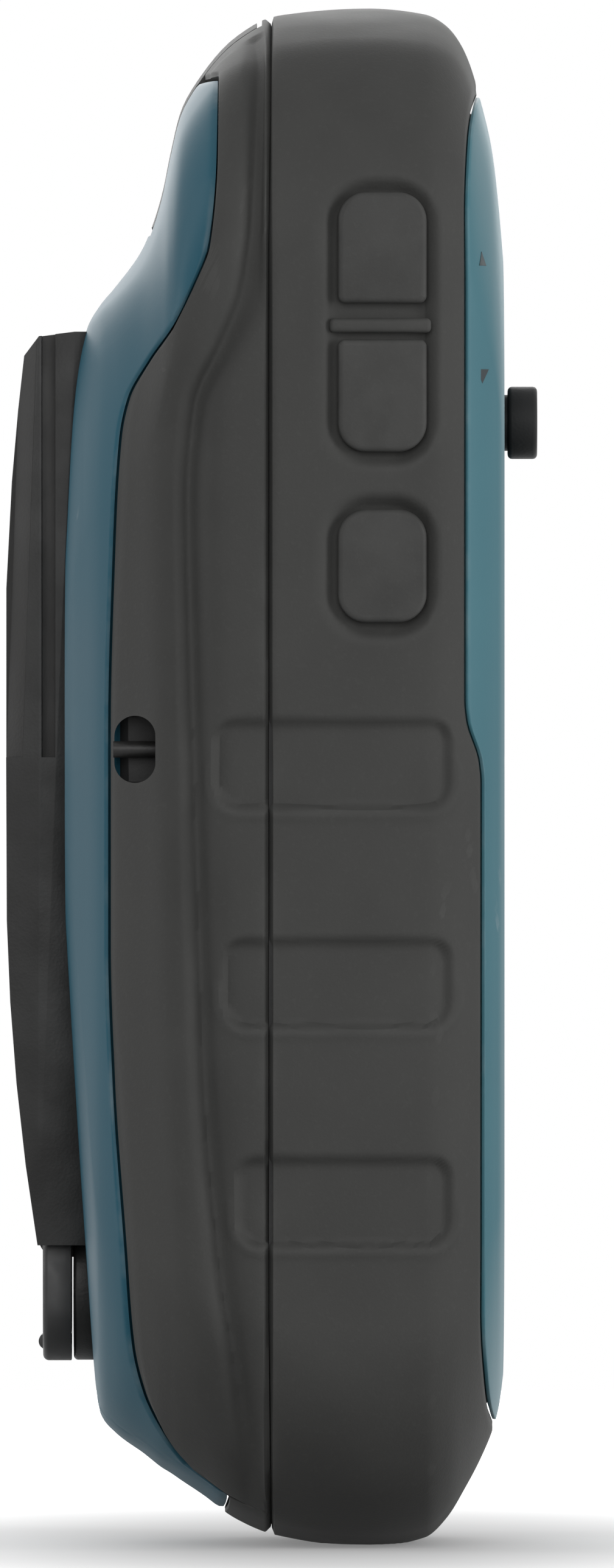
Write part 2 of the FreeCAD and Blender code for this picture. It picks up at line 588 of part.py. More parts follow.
def spine_solid():
    """The spine's crowned side outline spread over its width."""
    low, high = dim("spine_bottom"), dim("spine_top")
    crest = dim("spine_crest")
    corner = lambda y, z: FreeCAD.Vector(-dim("spine_width") / 2, y, z)
    foot_point = corner(crest - dim("spine_fall"), low)
    crest_low = corner(crest, dim("crest_low"))
    crest_high = corner(crest, dim("crest_high"))
    head_point = corner(crest - 1.2, high - 1.6)
    lower_bow = corner(crest - 0.27 * dim("spine_fall"), (low + dim("crest_low")) / 2)
    upper_bow = corner(crest - 0.42, (high - 1.6 + dim("crest_high")) / 2)
    edges = [
        Part.LineSegment(corner(8, low), foot_point).toShape(),
        Part.Arc(foot_point, lower_bow, crest_low).toShape(),
        Part.LineSegment(crest_low, crest_high).toShape(),
        Part.Arc(crest_high, upper_bow, head_point).toShape(),
        Part.LineSegment(head_point, corner(crest - 2.2, high - 0.3)).toShape(),
        Part.LineSegment(corner(crest - 2.2, high - 0.3), corner(crest - 4.6, high)).toShape(),
        Part.LineSegment(corner(crest - 4.6, high), corner(8, high)).toShape(),
        Part.LineSegment(corner(8, high), corner(8, low)).toShape(),
    ]
    return Part.Face(Part.Wire(edges)).extrude(FreeCAD.Vector(dim("spine_width"), 0, 0))


spine_slots = [
    span(f"spine_slot_{n}", (f"{a}", "spine_slot_level", "spine_slot_end"),
         (f"{b}", "spine_slot_level + spine_slot_tall", "spine_top + 5"))
    for n, (a, b) in enumerate((
        ("0 - spine_width", "0 - spine_width / 2 + spine_slot_depth"),
        ("spine_width / 2 - spine_slot_depth", "spine_width")))]


def shoulder_cut(label, sign):
    """The wedge that eases one long edge of the crest above the slot's end."""
    edge, deep = dim("spine_width") / 2, dim("spine_shoulder")
    corners = [FreeCAD.Vector(sign * x, y, dim("spine_slot_end")) for x, y in (
        (edge + 1, dim("spine_crest") - deep), (edge, dim("spine_crest") - deep),
        (edge - deep, dim("spine_crest")), (edge - deep, dim("spine_crest") + 1), (edge + 1, dim("spine_crest") + 1))]
    rise = dim("spine_top") + 1 - dim("spine_slot_end")
    face = Part.Face(Part.makePolygon(corners + corners[:1]))
    return feature(label, face.extrude(FreeCAD.Vector(0, -dim("spine_lean"), rise)))


lock_room = rod("lock_room", "lock_sweep", "20", ("0", "lock_seat", "lock_height"), "Y")
mounting_spine = cut("mounting_spine", feature("spine_block", spine_solid()), outer, lock_room, *spine_slots,
                     shoulder_cut("left_shoulder", -1), shoulder_cut("right_shoulder", 1))

# ---- lock and D-ring ------------------------------------------------------------

lock_disc = doc.addObject("PartDesign::Body", "lock_plate")
pad(lock_disc, circle_sketch(lock_disc, "lock_radius"), "lock_thick")
soften(lock_disc, "0.3")
lock_disc.Placement.Rotation = TURNS["Y"]
place(lock_disc, ("0", "lock_seat + lock_play", "lock_height"))
knuckle = fuse(
    "knuckle",
    rod("knuckle_eye", "ring_barrel + 0.25", "knuckle_width",
        ("0 - knuckle_width / 2", "ring_pivot_depth", "ring_pivot_height"), "X"),
    span("knuckle_foot", ("0 - knuckle_width / 2", "lock_seat + lock_play + lock_thick / 2",
                          "ring_pivot_height - ring_barrel - 0.25"),
         ("knuckle_width / 2", "ring_pivot_depth", "ring_pivot_height + ring_barrel + 0.25")))
lock_body = fuse(
    "lock_body", lock_disc, knuckle,
    rod("lock_stem", "lock_shaft", "lock_seat - lock_bar_depth + 1", ("0", "lock_bar_depth", "lock_height"), "Y"),
    box("lock_crossbar", ("lock_bar_width", "lock_bar_thick", "lock_bar"),
        ("0", "lock_bar_depth + lock_bar_thick / 2", "lock_height")))
lock_disc = cut("lock_disc", lock_body, rod(
    "knuckle_bore", "ring_pin + pivot_play", "knuckle_width + 2",
    ("0 - knuckle_width / 2 - 1", "ring_pivot_depth", "ring_pivot_height"), "X"))
lock_keeper = cut(
    "lock_keeper",
    rod("keeper_disc", "keeper_radius - 0.02", "keeper_thick", ("0", "keeper_depth", "lock_height"), "Y"),
    box("keeper_slot", ("lock_bar_width + 0.6", "5", "keeper_slot"), ("0", "keeper_depth", "lock_height")),
    rod("keeper_bore", "lock_shaft + 0.15", "6", ("0", "keeper_depth - 2", "lock_height"), "Y"))

RING_TALL = "(ring_pivot_height - ring_bottom) * 2"
ring_frame = doc.addObject("PartDesign::Body", "ring_frame")
pad(ring_frame, rounded_sketch(ring_frame, "ring_width", RING_TALL, "ring_corner"), "ring_thick")
soften(ring_frame, "0.4")
ring_eye = doc.addObject("PartDesign::Body", "ring_eye")
pad(ring_eye, rounded_sketch(ring_eye, "ring_width - 2 * ring_bar", f"{RING_TALL} - 2 * ring_bar",
                             "ring_corner - ring_bar / 2"), "ring_thick + 2")
for body, start in ((ring_frame, "0"), (ring_eye, "1")):
    body.Placement.Rotation = TURNS["Y"]
    place(body, ("0", f"ring_pivot_depth - ring_thick / 2 - {start}", "ring_pivot_height"))
d_ring = cut(
    "d_ring",
    fuse("ring_bars", cut("ring_loop", ring_frame, ring_eye, span(
        "ring_top", ("0 - 20", "0", "ring_pivot_height"), ("20", "40", "60"))),
        rod("ring_barrel", "ring_barrel", "ring_width - 1.6",
            ("0 - ring_width / 2 + 0.8", "ring_pivot_depth", "ring_pivot_height"), "X"),
        rod("ring_lip", "0.55", "5", ("0 - 2.5", "ring_pivot_depth + ring_thick / 2 - 0.25",
                                      "ring_bottom + ring_bar - 0.5"), "X")),
    box("knuckle_room", ("knuckle_width + 2 * knuckle_gap", "8", "2 * ring_barrel + 1.0"),
        ("0", "ring_pivot_depth", "ring_pivot_height")),
    rod("ring_bore", "ring_pin", "ring_width", ("0 - ring_width / 2 + 0.9", "ring_pivot_depth",
                                                "ring_pivot_height"), "X"))
ring_pin = rod("ring_pin", "ring_pin", "ring_width - 1.2",
               ("0 - ring_width / 2 + 0.9", "ring_pivot_depth", "ring_pivot_height"), "X")

# ---- strap bar, cap, fasteners ----------------------------------------------------

strap_bar = rod("strap_bar", "strap_bar_radius", "strap_wide",
                ("0 - half_width + side_taper / 2 + strap_bar_sink", "strap_depth - strap_wide / 2", "strap_height"), "Y")
cap_space = span("cap_space", ("0 - cap_half_width", "cap_front", "cap_bottom"),
                 ("cap_half_width", "40", "body_height + 1"))
usb_cap = cut("usb_cap", common("cap_block", outer, cap_space), body_form("cap_inside", dim("cap_thick")))


def screw(label, x, z):
    """One cross-head housing screw, put in from the rear."""
    head = rod(label + "_head", "screw_head", "1.2", (x, "parting_depth + screw_seat", z), "Y")
    shank = rod(label + "_shank", "screw_radius - 0.02", "screw_length - 0.4",
                (x, "parting_depth + screw_seat + 0.4 - screw_length", z), "Y")
    slots = [box(f"{label}_slot_{n}", size, (x, "parting_depth + screw_seat + 1.2", z))
             for n, size in enumerate((("2.0", "0.8", "0.4"), ("0.4", "0.8", "2.0")))]
    return cut(label, fuse(label + "_blank", head, shank), *slots)


def group(label, pieces):
    """Separate solids that share one node."""
    obj = doc.addObject("Part::Compound", label)
    obj.Links = pieces
    return obj


housing_screws = group("housing_screws", [screw(f"screw_{n}", x, z) for n, (x, z) in enumerate(SCREWS)])

# ---- keys and their switches --------------------------------------------------------

flange_limit = body_form("flange_limit", dim("wall") + 0.12)
key_nodes = []
switches = []
for name, (side, low, high) in KEYS.items():
    cap = key_block(name + "_cap", side, low, high, "0", "0 - key_proud", "key_proud + wall + key_flange_gap + 0.2")
    soften(cap, "key_edge")
    flange = key_block(name + "_flange", side, low, high, "key_flange_rim", "wall + key_flange_gap", "key_flange")
    key_nodes.append(fuse(name, cap, common(name + "_rim", flange, flange_limit)))
    middle, level = key_face(side, low, high)
    sign = "-1" if side == "-X" else "1"
    tip = f"{level} - wall - key_flange_gap - key_flange - key_travel - switch_gap"
    front_of_board = "board_back - board_thick"
    case = box(name + "_switch", ("switch_long", "switch_wide", "switch_tall"),
               (f"{sign} * (board_width / 2 - switch_long / 2 + 0.4)", f"{front_of_board} - switch_wide / 2", middle))
    plunger = rod(name + "_plunger", "plunger_radius", f"({tip}) - board_width / 2 + 0.5",
                  (f"{sign} * (board_width / 2 - 0.5)", f"{front_of_board} - switch_wide / 2", middle), side)
    switches.append(fuse(name + "_side_switch", case, plunger))
side_switches = group("side_switches", switches)

# ---- thumb stick -----------------------------------------------------------------------

FRONT = "(0 - front_depth)"
thumb_stick = fuse(
    "thumb_stick",
    rod("stick_cap", "stick_radius", "stick_cap_thick",
        ("stick_across", f"{FRONT} - stick_proud", "stick_height"), "Y"),
    rod("stick_neck", "stick_neck", "stick_proud - stick_cap_thick + 0.9",
        ("stick_across", f"{FRONT} - stick_proud + stick_cap_thick", "stick_height"), "Y"),
    rod("stick_stem", "stick_stem", f"stick_pivot - {FRONT} + stick_stem",
        ("stick_across", FRONT, "stick_height"), "Y"),
    rod("stick_pins", "pivot_pin", "2 * gimbal_radius - 0.4",
        ("stick_across", "stick_pivot", "stick_height - gimbal_radius + 0.2"), "Z"))
gimbal_ring = cut(
    "gimbal_ring",
    fuse("gimbal_blank",
         rod("gimbal_rim", "gimbal_radius", "gimbal_thick",
             ("stick_across", "stick_pivot - gimbal_thick / 2", "stick_height"), "Y"),
         rod("gimbal_pins", "pivot_pin", "carriage_side",
             ("stick_across - carriage_side / 2", "stick_pivot", "stick_height"), "X")),
    rod("gimbal_bore", "gimbal_bore", "6", ("stick_across", "stick_pivot - 3", "stick_height"), "Y"),
    rod("gimbal_cross_bore", "pivot_pin + pivot_play", "3 * gimbal_radius",
        ("stick_across", "stick_pivot", "stick_height - 1.5 * gimbal_radius"), "Z"))
CARRIAGE = "(board_back - board_thick - stick_switch_thick - stick_travel - 0.1 - carriage_thick)"
carriage_posts = [
    span(f"carriage_post_{n}",
         (f"stick_across + {a}", "stick_pivot - 0.9", "stick_height - 1.3"),
         (f"stick_across + {b}", f"{CARRIAGE} + carriage_thick / 2", "stick_height + 1.3"))
    for n, (a, b) in enumerate((
        ("0 - carriage_side / 2", "0 - carriage_side / 2 + post_thick"),
        ("carriage_side / 2 - post_thick", "carriage_side / 2")))]
stick_carriage = cut(
    "stick_carriage",
    fuse("carriage_blank", box(
        "carriage_plate", ("carriage_side", "carriage_thick", "carriage_side - 1"),
        ("stick_across", f"{CARRIAGE} + carriage_thick / 2", "stick_height")), *carriage_posts),
    rod("carriage_bore", "pivot_pin + pivot_play", "2 * carriage_side",
        ("stick_across - carriage_side", "stick_pivot", "stick_height"), "X"))
stick_switch = box("stick_switch", ("carriage_side", "stick_switch_thick", "carriage_side"),
                   ("stick_across", "board_back - board_thick - stick_switch_thick / 2", "stick_height"))

# ---- lens, display and boards ------------------------------------------------------------

screen_lens = doc.addObject("PartDesign::Body", "screen_lens")
pad(screen_lens, rounded_sketch(screen_lens, "window_width - 2 * fit_gap", "window_height - 2 * fit_gap",
                                "window_radius - fit_gap"), "lens_thick")
screen_lens.Placement.Rotation = TURNS["Y"]
place(screen_lens, ("0", f"{FRONT} + lens_sink", "window_centre"))
SCREEN_FACE = f"({FRONT} + lens_sink + lens_thick + screen_gasket)"
screen_module = box("screen_module", ("screen_width", "screen_thick", "screen_height"),
                    ("0", f"{SCREEN_FACE} + screen_thick / 2", "window_centre"))
screen_gasket = cut(
    "screen_gasket",
    box("gasket_blank", ("screen_width", "screen_gasket", "screen_height"),
        ("0", f"{SCREEN_FACE} - screen_gasket / 2", "window_centre")),
    box("gasket_opening", ("screen_width - 2", "3", "screen_height - 2"),
        ("0", f"{SCREEN_FACE} - screen_gasket / 2", "window_centre")))
BOARD_FACE = "(board_back - board_thick)"
screen_frame = cut(
    "screen_frame",
    span("frame_blank", ("0 - screen_width / 2", f"{SCREEN_FACE} + screen_thick", "window_centre - screen_height / 2"),
         ("screen_width / 2", BOARD_FACE, "window_centre + screen_height / 2")),
    span("frame_opening", ("0 - screen_width / 2 + 1.5", f"{SCREEN_FACE} + screen_thick + 0.8",
                           "window_centre - screen_height / 2 + 1.5"),
         ("screen_width / 2 - 1.5", "0", "window_centre + screen_height / 2 - 1.5")))
board_blank = common("board_blank", span(
    "board_sheet", ("0 - board_width / 2", BOARD_FACE, "board_bottom"),
    ("board_width / 2", "board_back", "board_top")), body_form("board_limit", dim("wall") + 0.4))
main_board = cut("main_board", board_blank, *[
    rod(f"board_notch_{n}", "boss_radius + 0.15", "20", (x, "0 - 15", z), "Y")
    for n, (x, z) in enumerate(SCREWS)])
gps_antenna = box("gps_antenna", ("antenna_side", "antenna_thick", "antenna_side"),
                  ("antenna_across", f"{BOARD_FACE} - antenna_thick / 2", "antenna_centre"))
shield_can = cut(
    "shield_can",
    box("shield_blank", ("shield_width", "shield_thick", "shield_height"),
        ("0", "board_back + shield_thick / 2", "shield_centre")),
    box("shield_inside", ("shield_width - 0.6", "shield_thick", "shield_height - 0.6"),
        ("0", "board_back + shield_thick / 2 - 0.3", "shield_centre")))
card_socket = cut(
    "card_socket",
    box("socket_blank", ("card_width + 2.4", "card_thick + 0.8", "card_long + 1"),
        ("0", "board_back + (card_thick + 0.8) / 2", "card_centre")),
    box("socket_slot", ("card_width + 0.1", "card_thick + 0.05", "card_long + 3"),
        ("0", "board_back + (card_thick + 0.8) / 2", "card_centre")))
memory_card = box("memory_card", ("card_width", "card_thick", "card_long"),
                  ("0", "board_back + (card_thick + 0.8) / 2 - 0.02", "card_centre"))
usb_shell = span("usb_shell", ("0 - usb_wide / 2", "board_back", "usb_height - usb_tall / 2"),
                 ("usb_wide / 2", "board_back + usb_long", "usb_height + usb_tall / 2"))
usb_mouth = span("usb_mouth", ("0 - usb_wide / 2 + usb_wall", "board_back + 1", "usb_height - usb_tall / 2 + usb_wall"),
                 ("usb_wide / 2 - usb_wall", "board_back + usb_long + 1", "usb_height + usb_tall / 2 - usb_wall"))
usb_tongue = span("usb_tongue", ("0 - usb_wide / 2 + 1.6", "board_back + 0.5", "usb_height - 0.45"),
                  ("usb_wide / 2 - 1.6", "board_back + usb_long - 1.5", "usb_height + 0.45"))
usb_socket = fuse("usb_socket", cut("usb_case", usb_shell, usb_mouth), usb_tongue)

# ---- battery cells and contacts ---------------------------------------------------------------


def cell(label, sign, start, nub_up):
    """One AA cell, standing on its flat end or turned over."""
    across = f"{sign} * cell_pitch / 2"
    low = start if nub_up else f"{start} + cell_nub"
    nub = f"{start} + cell_length - 1" if nub_up else start
    can = rod(label + "_can", "cell_radius", "cell_length", (across, "cell_depth", low), "Z")
    tip = rod(label + "_tip", "cell_nub_radius", "cell_nub + 1", (across, "cell_depth", nub), "Z")
    return fuse(label, can, tip)


def spring(label, sign, start):
    """A pressed battery spring: touching turns on a flat plate."""
    across = dim("cell_pitch") / 2 * sign
    wire = dim("spring_wire")
    room = dim("spring_room") - dim("contact_thick")
    turns = int(room / (2 * wire))
    rise = room / turns
    solid = None
    for n in range(turns):
        centre = FreeCAD.Vector(across, dim("cell_depth"), start + (n + 0.5) * rise)
        coil = Part.makeTorus(dim("spring_coil"), rise / 2 * 1.05, centre)
        solid = coil if solid is None else solid.fuse(coil)
    return solid


cell_left = cell("left_cell", "0 - 1", "cell_bottom", True)
cell_right = cell("right_cell", "1", "cell_bottom - spring_room + contact_thick", False)
bay_low = dim("cell_bottom") - dim("spring_room")
bay_high = dim("cell_bottom") + dim("cell_length") + dim("cell_nub") + dim("contact_thick")
springs = []
for label, sign, seat, turn in (("low_spring", -1, bay_low, 1), ("high_spring", 1, bay_high, -1)):
    plate_low = seat if turn == 1 else seat - dim("contact_thick")
    coils = seat + dim("contact_thick") if turn == 1 else seat - dim("spring_room")
    half = dim("contact_width") / 2
    plate = Part.makeBox(2 * half, 2 * half, dim("contact_thick"), FreeCAD.Vector(
        sign * dim("cell_pitch") / 2 - half, dim("cell_depth") - half, plate_low))
    limit = Part.makeBox(2 * half, 2 * half, dim("spring_room") - 0.02, FreeCAD.Vector(
        sign * dim("cell_pitch") / 2 - half, dim("cell_depth") - half,
        seat if turn == 1 else seat - dim("spring_room") + 0.02))
    springs.append(feature(label, plate.fuse(spring(label, sign, coils)).common(limit)))
contact_springs = group("contact_springs", springs)
contact_plates = group("contact_plates", [
    box("low_plate", ("contact_width", "contact_width", "contact_thick"),
        ("cell_pitch / 2", "cell_depth", f"{BAY_LOW} + contact_thick / 2")),
    box("high_plate", ("contact_width", "contact_width", "contact_thick"),
        ("0 - cell_pitch / 2", "cell_depth", f"{BAY_HIGH} - contact_thick / 2"))])

# ---- check and write ------------------------------------------------------------------------------

NODES = {
    "front_housing": front_housing, "rear_housing": rear_housing, "front_bezel": front_bezel,
    "battery_cover": battery_cover, "housing_seal": housing_seal, "bay_seal": bay_seal,
    "screen_lens": screen_lens, "screen_gasket": screen_gasket, "screen_module": screen_module,
    "screen_frame": screen_frame, "main_board": main_board, "gps_antenna": gps_antenna,
    "shield_can": shield_can, "card_socket": card_socket, "memory_card": memory_card,
    "usb_socket": usb_socket, "usb_cap": usb_cap, "side_switches": side_switches,
    "stick_switch": stick_switch, "stick_carriage": stick_carriage, "gimbal_ring": gimbal_ring,
    "thumb_stick": thumb_stick, "battery_left": cell_left, "battery_right": cell_right,
    "contact_springs": contact_springs, "contact_plates": contact_plates,
    "mounting_spine": mounting_spine, "lock_disc": lock_disc, "lock_keeper": lock_keeper,
    "d_ring": d_ring, "ring_pin": ring_pin, "strap_bar": strap_bar, "housing_screws": housing_screws,
}
NODES.update({node.Label: node for node in key_nodes})

doc.recompute()
for obj in doc.Objects:
    if {"Invalid", "Error"} & set(obj.State):
        raise ValueError(f"{obj.Label} did not build: {obj.State}")
for name, node in NODES.items():
    if node.Shape.isNull() or not node.Shape.isValid() or not node.Shape.Solids:
        raise ValueError(f"{name} has no valid solid")
os.makedirs("parts", exist_ok=True)
for name, node in NODES.items():
    node.Label = name
    node.Shape.exportStep(f"parts/{name}.step")
    print(f"{name}: {len(node.Shape.Solids)} solid, {node.Shape.Volume:.1f} mm3")
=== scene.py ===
import json
import logging
import math
from contextlib import contextmanager
from dataclasses import dataclass
from enum import Enum
from typing import Any, Callable, Iterable, Iterator, Optional, Sequence, Tuple

import bmesh
import bpy
import numpy as np
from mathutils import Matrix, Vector


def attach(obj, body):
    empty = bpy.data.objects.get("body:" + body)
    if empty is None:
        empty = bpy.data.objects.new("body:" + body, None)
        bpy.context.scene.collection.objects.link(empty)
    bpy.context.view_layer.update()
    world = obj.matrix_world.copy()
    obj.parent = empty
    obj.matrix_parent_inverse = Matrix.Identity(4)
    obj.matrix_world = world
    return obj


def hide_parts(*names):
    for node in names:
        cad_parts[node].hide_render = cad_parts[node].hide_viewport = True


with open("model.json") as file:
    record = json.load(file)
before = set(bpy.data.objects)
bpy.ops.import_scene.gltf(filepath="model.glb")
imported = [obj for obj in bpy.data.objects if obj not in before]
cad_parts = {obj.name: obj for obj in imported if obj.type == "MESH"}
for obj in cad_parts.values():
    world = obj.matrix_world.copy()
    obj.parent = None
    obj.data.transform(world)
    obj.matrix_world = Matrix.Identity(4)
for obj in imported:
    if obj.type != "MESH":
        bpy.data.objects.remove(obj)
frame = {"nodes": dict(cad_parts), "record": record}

logging.basicConfig(level=logging.INFO, format="%(message)s")
LOG = logging.getLogger("gps_unit")

MM = 0.001
Color = Tuple[float, float, float]
Columns = Tuple[np.ndarray, np.ndarray]
Piece = bpy.types.Object
Material = bpy.types.Material


# ---- shader helpers ---------------------------------------------------------------


class Term:
    """A number in a material: a socket, with the sums that Math nodes can do."""

    def __init__(self, finish: "NodeSheet", socket: Any) -> None:
        """Wrap a socket, or hold a plain number."""
        self.finish = finish
        self.socket = socket

    def _math(self, operation: str, *values: Any) -> "Term":
        """Add one Math node.

        Args:
            operation: the Math node's operation.
            values: terms, sockets or numbers for its inputs.

        Returns:
            The node's value as a term.
        """
        inputs = {n: v.socket if isinstance(v, Term) else v for n, v in enumerate(values)}
        node = self.finish.node("ShaderNodeMath", {"operation": operation}, inputs)
        return Term(self.finish, node.outputs[0])

    def __add__(self, other: Any) -> "Term":
        """Self plus other."""
        return self._math("ADD", self, other)

    __radd__ = __add__

    def __sub__(self, other: Any) -> "Term":
        """Self minus other."""
        return self._math("SUBTRACT", self, other)

    def __rsub__(self, other: Any) -> "Term":
        """Other minus self."""
        return self._math("SUBTRACT", other, self)

    def __mul__(self, other: Any) -> "Term":
        """Self times other."""
        return self._math("MULTIPLY", self, other)

    __rmul__ = __mul__

    def clamp(self) -> "Term":
        """Self held between 0 and 1."""
        return self._math("MINIMUM", self._math("MAXIMUM", self, 0.0), 1.0)

    def ramp(self, low: float, high: float) -> "Term":
        """0 below low, 1 above high and a straight line between."""
        return ((self - low) * (1.0 / (high - low))).clamp()


class NodeSheet:
    """One material's node tree, with short calls to fill it."""

    def __init__(self, name: str) -> None:
        """Start a material with a Principled shader.

        Args:
            name: the material's name.
        """
        self.material = bpy.data.materials.new(name)
        self.material.use_nodes = True
        self.tree = self.material.node_tree
        self.shader = self.tree.nodes["Principled BSDF"]
        self._object = None

    def node(self, kind: str, settings: Optional[dict] = None, inputs: Optional[dict] = None) -> Any:
        """Add one node.

        Args:
            kind: the node's type.
            settings: attributes to set first; "stops" fills a colour ramp.
            inputs: socket name or number to a value or a linked socket.

        Returns:
            The node.
        """
        node = self.tree.nodes.new(kind)
        for key, value in (settings or {}).items():
            if key == "stops":
                for stop, (place, shade) in zip(node.color_ramp.elements, value):
                    stop.position = place
                    stop.color = (*shade, 1.0)
            else:
                setattr(node, key, value)
        for key, value in (inputs or {}).items():
            value = value.socket if isinstance(value, Term) else value
            if isinstance(value, bpy.types.NodeSocket):
                self.tree.links.new(value, node.inputs[key])
            else:
                node.inputs[key].default_value = value
        return node

    def place(self) -> Any:
        """The Object coordinates."""
        if self._object is None:
            self._object = self.node("ShaderNodeTexCoord").outputs["Object"]
        return self._object

    def noise(self, scale: float, detail: float = 2.0, roughness: float = 0.5) -> Term:
        """Noise over the Object coordinates.

        Args:
            scale: how many blobs to a metre.
            detail: the number of octaves.
            roughness: how strong the fine octaves are.

        Returns:
            The noise value.
        """
        inputs = {"Vector": self.place(), "Scale": scale, "Detail": detail, "Roughness": roughness}
        return Term(self, self.node("ShaderNodeTexNoise", None, inputs).outputs[0])

    def cells(self, scale: float) -> Term:
        """Distance to the nearest cell centre, for a grained surface."""
        inputs = {"Vector": self.place(), "Scale": scale}
        return Term(self, self.node("ShaderNodeTexVoronoi", None, inputs).outputs["Distance"])

    def mix(self, factor: Any, low: Any, high: Any) -> Any:
        """A colour between two.

        Args:
            factor: the share of the second colour.
            low: the first colour or socket.
            high: the second colour or socket.

        Returns:
            The mixed colour's socket.
        """
        shade = lambda value: (*value, 1.0) if isinstance(value, tuple) else value
        node = self.node("ShaderNodeMix", {"data_type": "RGBA"}, {0: factor, 6: shade(low), 7: shade(high)})
        return node.outputs[2]

    def link(self, name: str, value: Any) -> None:
        """Join a term or socket to the shader."""
        value = value.socket if isinstance(value, Term) else value
        self.tree.links.new(value, self.shader.inputs[name])

    def bump(self, height: Term, strength: float, distance: float) -> None:
        """Join a height to the shader's normal."""
        inputs = {"Height": height, "Strength": strength, "Distance": distance}
        self.link("Normal", Term(self, self.node("ShaderNodeBump", None, inputs).outputs[0]))

    def set(self, **values: float) -> None:
        """Set numbers on the shader's own sockets, spaces written as underscores."""
        for name, value in values.items():
            self.shader.inputs[name.replace("_", " ")].default_value = value

    def edges(self, reach: float) -> Term:
        """How sharply the surface turns, from the mesh: 0.5 is flat, more is an outer edge."""
        node = self.node("ShaderNodeNewGeometry")
        return Term(self, node.outputs["Pointiness"]).ramp(0.5, 0.5 + reach)


# ---- finishes ------------------------------------------------------------------------


@dataclass(frozen=True)
class MouldedFinish:
    """Plastic or rubber with a fine grain, faint blotches, rubbed edges and dust."""

    name: str
    base: Color
    lift: Color
    rough: float = 0.62
    grain: float = 5200.0
    grain_depth: float = 0.00004
    grain_strength: float = 0.28
    worn: Color = (0.16, 0.16, 0.155)
    wear: float = 0.35
    specular: float = 0.15
    specks: float = 0.05

    def build(self) -> Material:
        """Make the material.

        Returns:
            The finished material.
        """
        sheet = NodeSheet(self.name)
        blotch = sheet.noise(70.0, 3.0, 0.6).ramp(0.35, 0.7)
        speck = sheet.noise(2600.0, 2.0, 0.6).ramp(0.55, 0.8)
        shade = sheet.mix(blotch, self.base, self.lift)
        shade = sheet.mix(speck * self.specks, shade, self.worn)
        rubbed = (sheet.edges(0.06) * sheet.noise(240.0, 3.0).ramp(0.35, 0.75)) * self.wear
        shade = sheet.mix(rubbed, shade, self.worn)
        sheet.link("Base Color", shade)
        sheet.link("Roughness", (self.rough - 0.06) + 0.12 * blotch - 0.1 * rubbed)
        height = sheet.cells(self.grain) * 0.6 + sheet.noise(self.grain * 0.45, 2.0) * 0.7
        sheet.bump(height, self.grain_strength, self.grain_depth)
        sheet.set(Specular_IOR_Level=self.specular)
        return sheet.material


@dataclass(frozen=True)
class PaintFinish:
    """Satin paint with a faint metal fleck and a soft top coat."""

    name: str
    base: Color
    fleck: Color
    rough: float = 0.42
    coat: float = 0.06

    def build(self) -> Material:
        """Make the material."""
        sheet = NodeSheet(self.name)
        fleck = sheet.cells(9000.0).ramp(0.25, 0.05)
        cloud = sheet.noise(45.0, 3.0).ramp(0.3, 0.75)
        shade = sheet.mix(fleck * 0.35, sheet.mix(cloud * 0.5, self.base, self.fleck), self.fleck)
        scuff = sheet.edges(0.08) * sheet.noise(300.0, 4.0).ramp(0.45, 0.8)
        sheet.link("Base Color", sheet.mix(scuff * 0.3, shade, (0.42, 0.47, 0.48)))
        sheet.link("Roughness", self.rough + 0.1 * cloud - 0.05 * fleck)
        sheet.bump(sheet.noise(3800.0, 2.0), 0.12, 0.00003)
        sheet.set(Coat_Weight=self.coat, Coat_Roughness=0.3, Specular_IOR_Level=0.2)
        return sheet.material


@dataclass(frozen=True)
class MetalFinish:
    """Metal with fine drawn lines and small stains."""

    name: str
    base: Color
    rough: float = 0.32
    metal: float = 1.0

    def build(self) -> Material:
        """Make the material."""
        sheet = NodeSheet(self.name)
        stain = sheet.noise(420.0, 4.0, 0.6).ramp(0.35, 0.75)
        dark = tuple(0.72 * part for part in self.base)
        sheet.link("Base Color", sheet.mix(stain * 0.6, self.base, dark))
        sheet.link("Roughness", self.rough + 0.18 * stain)
        sheet.bump(sheet.noise(5200.0, 2.0), 0.1, 0.00002)
        sheet.set(Metallic=self.metal)
        return sheet.material


@dataclass(frozen=True)
class GlassFinish:
    """A thin clear window with faint smears."""

    name: str
    base: Color
    alpha: float = 0.18

    def build(self) -> Material:
        """Make the material."""
        sheet = NodeSheet(self.name)
        smear = sheet.noise(130.0, 4.0, 0.65).ramp(0.45, 0.8)
        sheet.link("Base Color", sheet.mix(smear * 0.3, self.base, (0.8, 0.82, 0.82)))
        sheet.link("Roughness", 0.04 + 0.12 * smear)
        sheet.link("Alpha", self.alpha + 0.05 * smear)
        return sheet.material


@dataclass(frozen=True)
class BoardFinish:
    """Solder mask with copper tracks under it."""

    name: str
    base: Color = (0.012, 0.085, 0.035)

    def build(self) -> Material:
        """Make the material."""
        sheet = NodeSheet(self.name)
        tracks = sheet.cells(420.0).ramp(0.36, 0.4)
        sheet.link("Base Color", sheet.mix(tracks, self.base, (0.03, 0.17, 0.07)))
        sheet.link("Roughness", 0.35 + 0.15 * sheet.noise(500.0))
        sheet.bump(tracks, 0.2, 0.00003)
        return sheet.material


